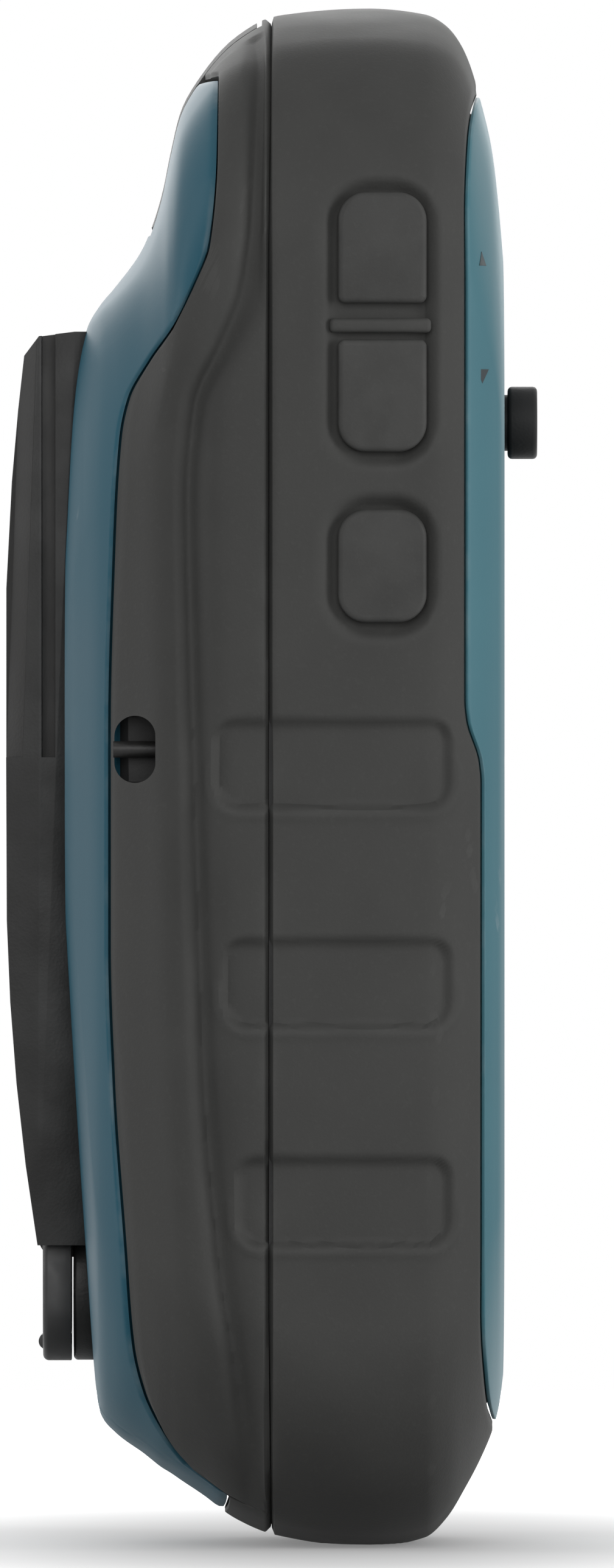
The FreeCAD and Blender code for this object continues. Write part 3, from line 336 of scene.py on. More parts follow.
@dataclass(frozen=True)
class ScreenFinish:
    """A dark reflective display with faint rows of dots and lighter cloudy patches painted in as a faint
    glow.
    """

    name: str

    def build(self) -> Material:
        """Make the material."""
        sheet = NodeSheet(self.name)
        dots = sheet.cells(5000.0).ramp(0.2, 0.5)
        # Painted glow: lighter cloudy patches on the dark screen, a little rougher where they are lighter.
        painted_glow = sheet.noise(30.0, 2.0).ramp(0.3, 0.8)
        shade = sheet.mix(painted_glow, (0.075, 0.09, 0.085), (0.12, 0.14, 0.13))
        sheet.link("Base Color", sheet.mix(dots * 0.3, shade, (0.05, 0.06, 0.058)))
        sheet.link("Roughness", 0.22 + 0.1 * painted_glow)
        sheet.set(Coat_Weight=0.6, Coat_Roughness=0.08)
        return sheet.material


# ---- mesh helpers ------------------------------------------------------------------------


def clear_selection() -> None:
    """Deselect every object."""
    bpy.ops.object.select_all(action="DESELECT")


def choose(piece: Piece) -> None:
    """Make one object the only selected and the active one."""
    clear_selection()
    piece.select_set(True)
    bpy.context.view_layer.objects.active = piece


@contextmanager
def editing(piece: Piece, kind: str = "") -> Iterator[None]:
    """Edit mode on one object.

    Args:
        piece: the object.
        kind: the kind of element to choose from; all is selected if it is empty.

    Yields:
        Nothing, while the object is in edit mode.
    """
    choose(piece)
    bpy.ops.object.mode_set(mode="EDIT")
    if kind:
        bpy.ops.mesh.select_mode(type=kind)
    else:
        bpy.ops.mesh.select_all(action="SELECT")
    yield
    bpy.ops.object.mode_set(mode="OBJECT")


def inset_faces(piece: Piece, chosen: Callable[[Vector], bool], widths: Sequence[float]) -> None:
    """Draw in the faces that look one way, step by step.

    Args:
        piece: the object.
        chosen: takes a face's normal and says whether it is one of them.
        widths: the width of each step, in millimetres.
    """
    with editing(piece, "FACE"):
        for face in bmesh.from_edit_mesh(piece.data).faces:
            face.select_set(chosen(face.normal))
        bmesh.update_edit_mesh(piece.data)
        for width in widths:
            bpy.ops.mesh.inset(thickness=width * MM)


def settle(piece: Piece) -> Piece:
    """Move an object's place into its mesh."""
    choose(piece)
    bpy.ops.object.transform_apply(location=True, rotation=True, scale=True)
    return piece


def apply_modifier(piece: Piece, kind: str, **settings: Any) -> None:
    """Add a modifier, set it and apply it.

    Args:
        piece: the object.
        kind: the modifier's type.
        settings: the modifier's attributes.
    """
    choose(piece)
    modifier = piece.modifiers.new(kind.lower(), kind)
    for name, value in settings.items():
        setattr(modifier, name, value)
    bpy.ops.object.modifier_apply(modifier=modifier.name)


def smooth(piece: Piece, degrees: float = 35.0) -> None:
    """Shade an object smooth, with corners sharper than the angle kept."""
    choose(piece)
    bpy.ops.object.shade_smooth_by_angle(angle=math.radians(degrees))


def finish_piece(piece: Piece, body: str, material: Material,
                 replaced: Sequence[str] = (), degrees: float = 35.0) -> Piece:
    """Shade and dress a new piece, and tie it to its CAD body.

    Args:
        piece: the object, already in place.
        body: the CAD body that it rides on.
        material: its finish.
        replaced: CAD nodes that it stands for.
        degrees: the angle above which an edge stays sharp.

    Returns:
        The same object.
    """
    settle(piece)
    smooth(piece, degrees)
    piece.data.materials.clear()
    piece.data.materials.append(material)
    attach(piece, body)
    if replaced:
        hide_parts(*replaced)
    LOG.info("%s: %d faces on %s", piece.name, len(piece.data.polygons), body)
    return piece


def grid_piece(name: str, rows: Sequence[np.ndarray], closed_end: bool = False) -> Piece:
    """A belt of quads through rows of points that each go once round.

    Args:
        name: the object's name.
        rows: arrays of points in metres, all of one length.
        closed_end: fill the last row with rings that shrink to its middle.

    Returns:
        The new object.
    """
    rows = list(rows)
    if closed_end:
        middle = rows[-1].mean(axis=0)
        rows += [middle + (rows[-1] - middle) * share for share in (0.8, 0.55, 0.3, 0.1)]
    count = len(rows[0])
    points = np.concatenate(rows)
    faces = []
    for row in range(len(rows) - 1):
        for n in range(count):
            after = (n + 1) % count
            here, below = row * count, (row + 1) * count
            faces.append((here + n, here + after, below + after, below + n))
    if closed_end:
        points = np.concatenate([points, middle[None, :]])
        last = (len(rows) - 1) * count
        faces += [(last + n, last + (n + 1) % count, len(points) - 1) for n in range(count)]
    mesh = bpy.data.meshes.new(name)
    mesh.from_pydata([tuple(point) for point in points], [], faces)
    mesh.update()
    piece = bpy.data.objects.new(name, mesh)
    bpy.context.scene.collection.objects.link(piece)
    return piece


def outward(piece: Piece) -> None:
    """Turn the faces of a closed piece outwards."""
    with editing(piece):
        bpy.ops.mesh.normals_make_consistent(inside=False)


def block(name: str, low: Sequence[float], high: Sequence[float]) -> Piece:
    """A box between two corners, in millimetres."""
    middle = [(a + b) / 2 * MM for a, b in zip(low, high)]
    size = [(b - a) * MM for a, b in zip(low, high)]
    clear_selection()
    bpy.ops.mesh.primitive_cube_add(size=1.0, location=middle, scale=size)
    piece = bpy.context.object
    piece.name = name
    return settle(piece)


def rod(name: str, radius: float, start: Sequence[float], end: Sequence[float], sides: int = 64) -> Piece:
    """A cylinder between two points, in millimetres."""
    first, last = Vector(start) * MM, Vector(end) * MM
    turn = (last - first).to_track_quat("Z", "Y").to_euler()
    clear_selection()
    bpy.ops.mesh.primitive_cylinder_add(
        vertices=sides, radius=radius * MM, depth=(last - first).length, location=(first + last) / 2,
        rotation=turn)
    piece = bpy.context.object
    piece.name = name
    return settle(piece)


def cut_away(piece: Piece, tools: Iterable[Piece], operation: str = "DIFFERENCE") -> None:
    """Cut a piece with tools, or join or share with them, and delete the tools.

    Args:
        piece: the closed object that is cut.
        tools: closed objects.
        operation: the boolean's kind.
    """
    for tool in tools:
        apply_modifier(piece, "BOOLEAN", object=tool, operation=operation, solver="EXACT")
        bpy.data.objects.remove(tool, do_unlink=True)


def ease_edges(piece: Piece, width: float, segments: int, angle: float) -> None:
    """Bevel the edges of a piece that turn by more than an angle.

    Args:
        piece: the object.
        width: how wide the bevel is, in millimetres.
        segments: the number of steps of a bevel.
        angle: the angle, in degrees.
    """
    apply_modifier(piece, "BEVEL", width=width * MM, segments=segments, limit_method="ANGLE",
                   angle_limit=math.radians(angle))


def dressed_copy(node: str, name: str, bevel: float, segments: int = 2, angle: float = 32.0) -> Piece:
    """A merged copy of a CAD node whose hard edges are eased.

    Args:
        node: the CAD node.
        name: the new piece's name.
        bevel: how wide the eased edges are, in millimetres.
        segments: the number of steps of an eased edge.
        angle: the turn above which an edge is eased, in degrees.

    Returns:
        The new object.
    """
    source = frame["nodes"][node]
    mesh = source.data.copy()
    mesh.materials.clear()
    piece = bpy.data.objects.new(name, mesh)
    bpy.context.scene.collection.objects.link(piece)
    with editing(piece):
        bpy.ops.mesh.remove_doubles(threshold=0.000002)
        bpy.ops.mesh.customdata_custom_splitnormals_clear()
        bpy.ops.mesh.dissolve_limited(angle_limit=math.radians(1.5))
    if bevel:
        ease_edges(piece, bevel, segments, angle)
    return piece


# ---- the body's outer form ------------------------------------------------------------------


def smooth_curve(at: np.ndarray, along: np.ndarray, rows: np.ndarray) -> np.ndarray:
    """Values on a smooth curve through rows of numbers, without overshoot.

    Args:
        at: the places asked for.
        along: the place of each row, rising.
        rows: one row of numbers for each place.

    Returns:
        One row for each place asked for.
    """
    steps = np.diff(along)[:, None]
    slope = np.diff(rows, axis=0) / steps
    tangent = np.zeros_like(rows)
    rising = slope[:-1] * slope[1:] > 0
    first, second = 2 * steps[1:] + steps[:-1], steps[1:] + 2 * steps[:-1]
    bottom = first / np.where(rising, slope[:-1], 1.0) + second / np.where(rising, slope[1:], 1.0)
    tangent[1:-1] = np.where(rising, (first + second) / bottom, 0.0)
    tangent[0], tangent[-1] = slope[0], slope[-1]
    cell = np.clip(np.searchsorted(along, at, side="right") - 1, 0, len(steps) - 1)
    length = steps[cell]
    part = (at - along[cell])[:, None] / length
    square, cube = part ** 2, part ** 3
    return ((2 * cube - 3 * square + 1) * rows[cell] + (cube - 2 * square + part) * length * tangent[cell]
            + (3 * square - 2 * cube) * rows[cell + 1] + (cube - square) * length * tangent[cell + 1])


@dataclass(frozen=True)
class BodyForm:
    """The outer form of the unit: rings from the front face to the rear face."""

    half_width: float = 27.0
    side_taper: float = 0.7
    height: float = 103.0
    front_depth: float = 15.4
    rear_depth: float = 13.9
    crown_radius: float = 62.0
    sole_radius: float = 95.0
    sink: float = 0.35
    corner_radius: float = 14.0
    front_rings: Tuple[Tuple[float, float, float, float], ...] = (
        (0.0, 16.5, 11.4, 6.2), (0.25, 13.5, 9.5, 5.1), (0.7, 9.6, 7.8, 4.2),
        (1.45, 6.3, 6.0, 3.1), (2.55, 2.9, 3.9, 1.9), (3.8, 1.15, 1.9, 0.9),
        (5.2, 0.4, 0.65, 0.3), (9.0, 0.0, 0.0, 0.0), (15.2, 0.5, 0.8, 0.0),
    )
    rear_rings: Tuple[Tuple[float, float, float, float], ...] = (
        (11.4, 1.9, 1.9, 0.1), (9.2, 4.3, 3.5, 0.4), (7.7, 6.9, 4.5, 0.9),
        (7.05, 9.5, 4.95, 1.3), (6.4, 12.6, 5.35, 1.8), (5.2, 16.0, 6.3, 2.9),
        (3.3, 18.7, 7.7, 5.0), (2.3, 19.9, 9.0, 6.6), (1.4, 21.5, 19.0, 8.8),
        (0.6, 26.0, 31.0, 11.2), (0.0, 36.0, 41.0, 13.8),
    )
    column_lean: float = 0.7
    lean_start: float = 10.5
    lean_end: float = 14.5
    lean_spots: Tuple[Tuple[float, int], ...] = ((2.75, -1), (0.25, 1), (8.25, 1))
    lean_before: float = 1.2
    lean_after: float = 1.25
    side_samples: int = 250
    corner_samples: int = 64
    crown_samples: int = 46

    def columns(self, thin: float = 1.0) -> Columns:
        """The segment number and the place in it of each column round the form.

        Args:
            thin: a share of the full number of columns.

        Returns:
            Segment numbers and fractions.
        """
        counts = [self.corner_samples, self.crown_samples, self.corner_samples, self.side_samples]
        parts, shares = [], []
        for segment, count in enumerate(counts * 2):
            count = max(4, int(count * thin))
            parts.append(np.full(count, segment))
            shares.append(np.arange(count) / count)
        return np.concatenate(parts), np.concatenate(shares)

    def rings(self, inset: float) -> np.ndarray:
        """Depth, top drop, base rise and side inset of each ring.

        Args:
            inset: how far the form is drawn in, in millimetres.

        Returns:
            One row for each ring, front to rear.
        """
        rows = []
        halves = ((self.front_rings, -self.front_depth, 1), (self.rear_rings, self.rear_depth, -1))
        for rings, face, way in halves:
            for set_back, drop, rise, side in rings:
                depth = face + way * (set_back + inset * max(0.0, 1 - set_back / 10))
                rows.append((depth, drop + inset, rise + inset - self.sink, side + inset))
        return np.array(rows)

    def profile(self, travel: np.ndarray, inset: float = 0.0) -> np.ndarray:
        """The ring values at places along the form, on a smooth curve without overshoot.

        Args:
            travel: ring numbers, with fractions.
            inset: how far the form is drawn in, in millimetres.

        Returns:
            Depth, drop, rise and side inset for each place.
        """
        rows = self.rings(inset)
        steps = np.linalg.norm(np.diff(rows[:, [0, 1, 3]], axis=0), axis=1)
        along = np.concatenate([[0.0], np.cumsum(steps)])
        return smooth_curve(np.interp(travel, np.arange(len(rows)), along), along, rows)

    def leaning(self, columns: Columns, travel: np.ndarray) -> Columns:
        """Columns drawn towards the crown behind the shoulders, so that none runs along the cover's line.

        Args:
            columns: segment numbers and fractions.
            travel: each column's place along the form, as a ring number.

        Returns:
            The segment numbers and fractions of the moved columns.
        """
        spot = columns[0] + columns[1]
        grown = self.column_lean * smoothstep((travel - self.lean_start) / (self.lean_end - self.lean_start))
        for middle, way in self.lean_spots:
            off = (spot - middle) * way
            pull = smoothstep(1 + off / self.lean_before) * smoothstep(1 - off / self.lean_after)
            spot = spot + way * grown * pull
        spot = np.mod(spot, 8.0)
        segment = np.floor(spot).astype(int)
        return segment, spot - segment

    def points(self, columns: Columns, travel: np.ndarray, inset: float = 0.0) -> np.ndarray:
        """Points on the form, one for each column.

        Args:
            columns: segment numbers and fractions.
            travel: each column's place along the form, as a ring number.
            inset: how far the form is drawn in, in millimetres.

        Returns:
            Points in millimetres.
        """
        segment, share = self.leaning(columns, travel)
        depth, drop, rise, side = self.profile(travel, inset).T
        low, high = rise, self.height - drop
        half = self.half_width - self.side_taper / 2 - side
        corner = np.minimum(np.minimum(self.corner_radius, 0.8 * half), 0.4 * (high - low))
        ends = {}
        for sign, level, crown in ((1, high, self.crown_radius), (-1, low, self.sole_radius)):
            width = half + sign * self.side_taper / 2
            crown = np.maximum(crown, 1.5 * width)
            middle = level - sign * crown
            centre = middle + sign * np.sqrt((crown - corner) ** 2 - (width - corner) ** 2)
            ends[sign] = (crown, middle, width, centre, np.arctan2(width - corner, np.abs(centre - middle)))
        across, up = np.zeros_like(depth), np.zeros_like(depth)
        for sign, first in ((1, 0), (-1, 4)):
            crown, middle, width, centre, reach = ends[sign]
            other = ends[-sign]
            turn = np.where(segment == first, math.pi / 2 + (reach - math.pi / 2) * share,
                            reach + (math.pi / 2 - reach) * share)
            round_x = width - corner + corner * np.sin(turn)
            round_z = centre + sign * corner * np.cos(turn)
            sweep = reach * (1 - 2 * share)
            for step, x, z in ((0, round_x, round_z),
                               (1, crown * np.sin(sweep), middle + sign * crown * np.cos(sweep)),
                               (2, -round_x, round_z),
                               (3, -(width + (other[2] - width) * share),
                                centre + (other[3] - centre) * share)):
                mask = segment == first + step
                across = np.where(mask, sign * x, across)
                up = np.where(mask, z, up)
        return np.stack([across, depth, np.maximum(up, 0.0)], axis=1)

    def where(self, columns: Columns, beyond: Callable[[np.ndarray], np.ndarray],
              start: float, end: float, inset: float = 0.0) -> np.ndarray:
        """The place along the form at which a test turns true, for each column.

        Args:
            columns: segment numbers and fractions.
            beyond: takes points and says which are past the line.
            start: a ring number where the test is false.
            end: a ring number where it is true.
            inset: how far the form is drawn in.

        Returns:
            One ring number for each column.
        """
        low = np.full(len(columns[0]), float(start))
        high = np.full(len(columns[0]), float(end))
        for _ in range(40):
            middle = (low + high) / 2
            past = beyond(self.points(columns, middle, inset))
            high = np.where(past, middle, high)
            low = np.where(past, low, middle)
        return (low + high) / 2


FORM = BodyForm()
PARTING = 0.25
FRONT_LAST = len(FORM.front_rings) - 1
REAR_LAST = len(FORM.front_rings) + len(FORM.rear_rings) - 1


def smoothstep(value: np.ndarray) -> np.ndarray:
    """0 below 0, 1 above 1, and smooth between."""
    value = np.clip(value, 0.0, 1.0)
    return value * value * (3 - 2 * value)


def rounded_distance(y: np.ndarray, z: np.ndarray, low: Sequence[float], high: Sequence[float],
                     radius: float) -> np.ndarray:
    """How far points lie outside a rounded rectangle, negative inside it.

    Args:
        y: depths.
        z: heights.
        low: its lowest depth and height.
        high: its highest depth and height.
        radius: its corner radius.

    Returns:
        Signed distances.
    """
    reach_y = np.abs(y - (low[0] + high[0]) / 2) - (high[0] - low[0]) / 2 + radius
    reach_z = np.abs(z - (low[1] + high[1]) / 2) - (high[1] - low[1]) / 2 + radius
    outside = np.hypot(np.maximum(reach_y, 0), np.maximum(reach_z, 0))
    return outside + np.minimum(np.maximum(reach_y, reach_z), 0) - radius


# ---- split lines and surface features ---------------------------------------------------------


@dataclass(frozen=True)
class SplitLine:
    """A line across the body's side: its depth at each height, in millimetres."""

    heights: Tuple[float, ...]
    depths: Tuple[float, ...]
    ceiling: float = 200.0

    def depth(self, heights: np.ndarray) -> np.ndarray:
        """The line's depth at the given heights."""
        found = smooth_curve(np.clip(heights, self.heights[0], self.heights[-1]),
                             np.array(self.heights), np.array(self.depths)[:, None])
        return found[:, 0]

    def past(self, shift: float = 0.0) -> Callable[[np.ndarray], np.ndarray]:
        """A test that says which points are behind the line.

        Args:
            shift: how far the line is moved back first.

        Returns:
            The test.
        """
        return lambda points: (points[:, 1] > self.depth(points[:, 2]) + shift) & (
            points[:, 2] < self.ceiling - shift)


BEZEL_LINE = SplitLine(
    heights=(5.0, 6.9, 8.0, 11.0, 16.0, 30.0, 51.0, 52.4, 55.1, 56.5, 70.0, 88.5, 93.5, 96.5, 97.7, 100.5),
    depths=(-22.0, -17.6, -14.95, -14.25, -13.95, -13.95, -13.95, -13.82, -12.98, -12.85, -12.85, -12.85,
            -13.05, -13.55, -14.2, -20.4),
)
COVER_LINE = SplitLine(
    heights=(-2.6, 3.4, 5.4, 7.8, 10.3, 13.5, 20.6, 31.0, 40.0, 54.5, 66.0, 74.0, 76.6, 79.0, 81.5, 84.0,
             86.6, 92.5, 98.0),
    depths=(8.0, 3.1, 5.65, 7.5, 8.7, 9.45, 10.0, 10.75, 11.05, 11.05, 10.75, 10.3, 9.75, 8.4, 6.6, 5.3, 4.3,
            3.8, 3.75),
    ceiling=98.0,
)


SIDE_START = 15.0


@dataclass(frozen=True)
class KeyWell:
    """A rounded groove in the side round one or two keys."""

    side: int
    low: float
    high: float
    front: float = -11.25
    rear: float = -3.15
    radius: float = 3.4
    depth: float = 0.95
    lip: float = 1.15

    def sink(self, points: np.ndarray) -> np.ndarray:
        """How far the surface is drawn in at each point.

        Args:
            points: points in millimetres.

        Returns:
            Depths, zero outside the groove.
        """
        away = rounded_distance(points[:, 1], points[:, 2], (self.front, self.low), (self.rear, self.high),
                                self.radius)
        return self.depth * smoothstep(-away / self.lip) * (points[:, 0] * self.side > SIDE_START)


@dataclass(frozen=True)
class GripPocket:
    """A shallow pocket along the side: a wide slope at its top and a sharp step at its foot."""

    level: float
    rear: float
    tall: float = 6.4
    front: float = -12.1
    radius: float = 1.9
    depth: float = 0.6
    top_slope: float = 1.0
    end_slope: float = 0.5
    foot_slope: float = 0.28
    rim: float = 0.1
    rim_off: float = 0.3
    rim_wide: float = 0.25

    def sink(self, points: np.ndarray) -> np.ndarray:
        """How far the surface is drawn in at each point, in millimetres."""
        half = self.tall / 2
        away = -rounded_distance(points[:, 1], points[:, 2], (self.front, self.level - half),
                                 (self.rear, self.level + half), self.radius)
        below_top = self.level + half - points[:, 2]
        above_foot = points[:, 2] - self.level + half
        wall = smoothstep(away / self.end_slope)
        slope = np.minimum(smoothstep(below_top / self.top_slope), smoothstep(above_foot / self.foot_slope))
        rim = self.rim * np.exp(-((away + self.rim_off) / self.rim_wide) ** 2) * (points[:, 2] < self.level)
        return (self.depth * wall * slope - rim) * (np.abs(points[:, 0]) > SIDE_START)


@dataclass(frozen=True)
class ShoulderCrease:
    """The soft valley between the flat side and the rounded rear shoulder."""

    heights: Tuple[float, ...] = (0.0, 6.0, 12.0, 20.0, 30.0, 40.0, 50.0, 60.0, 70.0, 76.0, 80.0, 83.0, 85.5,
                                  88.0, 94.0, 101.0)
    depths: Tuple[float, ...] = (1.2, 1.8, 2.6, 3.7, 4.6, 5.0, 5.3, 5.6, 5.8, 5.3, 3.5, 2.2, 1.7, 1.45,
                                 1.3, 1.2)
    sink_depth: float = 0.8
    narrow: float = 0.5
    wide: float = 1.3
    swell: float = 0.15
    swell_off: float = 2.1
    swell_wide: float = 1.1
    foot: float = 1.0
    foot_fade: float = 9.0
    head: float = 102.0
    head_fade: float = 4.0
    seam_room: float = 0.1
    seam_fade: float = 0.5
    side_start: float = 12.0

    def sink(self, points: np.ndarray) -> np.ndarray:
        """How far the surface is drawn in at each point, in millimetres."""
        middle = smooth_curve(points[:, 2], np.array(self.heights), np.array(self.depths)[:, None])[:, 0]
        away = points[:, 1] - middle
        reach = np.where(away < 0, self.wide, self.narrow)
        valley = self.sink_depth * np.exp(-(away / reach) ** 2)
        shoulder = self.swell * np.exp(-((away - self.swell_off) / self.swell_wide) ** 2)
        low = smoothstep((points[:, 2] - self.foot) / self.foot_fade)
        high = smoothstep((self.head - points[:, 2]) / self.head_fade)
        behind = smoothstep((points[:, 1] - PARTING - self.seam_room) / self.seam_fade)
        return (valley - shoulder) * low * high * behind * (np.abs(points[:, 0]) > self.side_start)


@dataclass(frozen=True)
class RubberRelief:
    """Everything that stands out of the rubber belt or is drawn into it."""

    wells: Tuple[KeyWell, ...] = (
        KeyWell(-1, 71.7, 91.3), KeyWell(-1, 60.3, 70.3), KeyWell(1, 81.25, 91.3), KeyWell(1, 60.3, 70.3))
    pockets: Tuple[GripPocket, ...] = (GripPocket(52.3, 4.1), GripPocket(37.8, 3.5), GripPocket(23.3, 2.6))
    crease: ShoulderCrease = ShoulderCrease()
    seam_reach: float = 0.32
    seam_depth: float = 0.45

    def lift(self, points: np.ndarray) -> np.ndarray:
        """How far the surface stands out at each point, in millimetres."""
        total = np.zeros(len(points))
        for pocket in self.pockets:
            total -= pocket.sink(points)
        for well in self.wells:
            total -= well.sink(points)
        seam = smoothstep(1 - np.abs(points[:, 1] - PARTING) / self.seam_reach)
        return total - self.crease.sink(points) - self.seam_depth * seam


RELIEF = RubberRelief()


def surface_normals(points: Sequence[np.ndarray]) -> Sequence[np.ndarray]:
    """Outward directions for rows of points that each go once round the body.

    Args:
        points: rows of points, front to rear.

    Returns:
        Rows of unit vectors.
    """
    grid = np.stack(points)
    along = np.gradient(grid, axis=0)
    round_way = (np.roll(grid, -1, axis=1) - np.roll(grid, 1, axis=1)) / 2
    normal = np.cross(along, round_way)
    normal /= np.maximum(np.linalg.norm(normal, axis=2, keepdims=True), 1e-9)
    middle = np.array([0.0, 0.0, FORM.height / 2])
    outward_way = np.sign(np.sum(normal * (grid - middle), axis=2, keepdims=True))
    return list(normal * np.where(outward_way == 0, 1, outward_way))


# ---- sub-assemblies -------------------------------------------------------------------------

# The weather cap's opening (half width and floor) and places past the body, in millimetres.
CAP_ROOM = 8.35
CAP_FLOOR = 87.6
BEHIND = 40.0
ABOVE = 120.0


def scaled(points: np.ndarray) -> np.ndarray:
    """Millimetres to metres."""
    return points * MM


def travel_rows(columns: Columns, start: np.ndarray, end: np.ndarray,
                shares: Sequence[float], inset: float = 0.0) -> list:
    """Rows of points on the form between two places in each column.

    Args:
        columns: segment numbers and fractions.
        start: each column's first ring number.
        end: each column's last ring number.
        shares: how far along each row lies, 0 to 1.
        inset: how far the form is drawn in.

    Returns:
        Rows of points in millimetres.
    """
    return [FORM.points(columns, start + (end - start) * share, inset) for share in shares]


def form_solid(name: str, inset: float, thin: float = 0.5) -> Piece:
    """The whole outer form, closed, drawn in all round.

    Args:
        name: the object's name.
        inset: how far it is drawn in, in millimetres.
        thin: a share of the full number of columns.

    Returns:
        The new object.
    """
    columns = FORM.columns(thin)
    whole = np.zeros(len(columns[0]))
    rows = travel_rows(columns, whole, whole + REAR_LAST, np.linspace(0, 1, 90), inset)
    rows = [rows[0].mean(axis=0) + (rows[0] - rows[0].mean(axis=0)) * share for share in (0.02, 0.4)] + rows
    piece = grid_piece(name, [scaled(row) for row in rows], closed_end=True)
    with editing(piece):
        bpy.ops.mesh.fill_holes(sides=0)
    outward(piece)
    return piece


@dataclass
class RubberBelt:
    """The soft dark overmould round both halves, with its grips, key grooves and seam."""

    skin: float = 0.7
    front_rows: int = 62
    rear_rows: int = 56
    seam_gap: float = 0.05
    eased_rows: float = 3.0
    core_inset: float = 1.2
    cap_front: float = 0.75
    strap_middle: Tuple[float, float] = (9.15, 53.2)
    strap_radius: float = 1.38
    strap_reach: float = 0.85
    strap_across: Tuple[float, float] = (-40.0, -20.5)

    def belt(self, name: str, rows: Sequence[np.ndarray], easing: Sequence[float]) -> Piece:
        """A closed skin through rows of points, drawn in along its normals at its own edges.

        Args:
            name: the object's name.
            rows: rows of points in millimetres, front to rear.
            easing: how far each row is drawn in.

        Returns:
            The new object.
        """
        normals = surface_normals(rows)
        raised = [row + normal * (RELIEF.lift(row) - ease)[:, None]
                  for row, normal, ease in zip(rows, normals, easing)]
        low = [row + normal * (np.minimum(RELIEF.lift(row), 0) - self.skin)[:, None]
               for row, normal in zip(rows, normals)]
        for row in raised + low:
            row[:, 2] = np.clip(row[:, 2], 0.0, FORM.height - 0.01)
        loop = raised + low[::-1]
        piece = grid_piece(name, [scaled(row) for row in loop + [loop[0]]])
        with editing(piece):
            bpy.ops.mesh.remove_doubles(threshold=0.000001)
        outward(piece)
        return piece

    def easing(self, count: int, front: float, rear: float) -> list:
        """Round the two edges of a belt: how far each of its rows is drawn in."""
        steps = np.linspace(0, 1, count) * count / self.eased_rows
        last = count / self.eased_rows
        return list(front * (1 - smoothstep(steps)) + rear * (1 - smoothstep(last - steps)))

    def build(self, finishes: dict) -> None:
        """Make the front skin, the rear skin and the core that carries the battery bay.

        Args:
            finishes: materials by slot.
        """
        columns = FORM.columns()
        rubber = finishes["body_rubber"]
        bezel = FORM.where(columns, BEZEL_LINE.past(0.05), 0, FRONT_LAST)
        seam = FORM.where(columns, lambda p: p[:, 1] > PARTING - self.seam_gap, FRONT_LAST, FRONT_LAST + 1)
        shares = np.linspace(0, 1, self.front_rows)
        front = self.belt("front_overmould", travel_rows(columns, bezel, seam, shares),
                          self.easing(self.front_rows, 0.16, 0.0))
        finish_piece(front, "unit", rubber, (), 40.0)

        seam = FORM.where(columns, lambda p: p[:, 1] > PARTING + self.seam_gap, FRONT_LAST, FRONT_LAST + 1)
        cover = FORM.where(columns, COVER_LINE.past(-0.12), FRONT_LAST + 1, REAR_LAST)
        shares = np.linspace(0, 1, self.rear_rows)
        rear = self.belt("rear_overmould", travel_rows(columns, seam, cover, shares),
                         self.easing(self.rear_rows, 0.0, 0.2))
        cap = block("cap_cut", (-CAP_ROOM, self.cap_front, CAP_FLOOR), (CAP_ROOM, BEHIND, ABOVE))
        cut_away(rear, [self.strap_tool(), cap])
        finish_piece(rear, "unit", rubber, (), 40.0)

        for half in ("front", "rear"):
            core = dressed_copy(f"{half}_housing", f"{half}_core", 0.0)
            cut_away(core, [form_solid("core_limit", self.core_inset)], "INTERSECT")
            finish_piece(core, "unit", finishes["inner_plastic"], [f"{half}_housing"], 30.0)

    def strap_tool(self) -> Piece:
        """A long round-ended cutter for the strap hole in the left side."""
        depth, height = self.strap_middle
        outer, inner = self.strap_across
        tool = block("strap_cut", (outer, depth - self.strap_radius, height - self.strap_reach),
                     (inner, depth + self.strap_radius, height + self.strap_reach))
        ends = [rod("strap_end", self.strap_radius, (outer, depth, level), (inner, depth, level), 48)
                for level in (height - self.strap_reach, height + self.strap_reach)]
        cut_away(tool, ends, "UNION")
        return tool


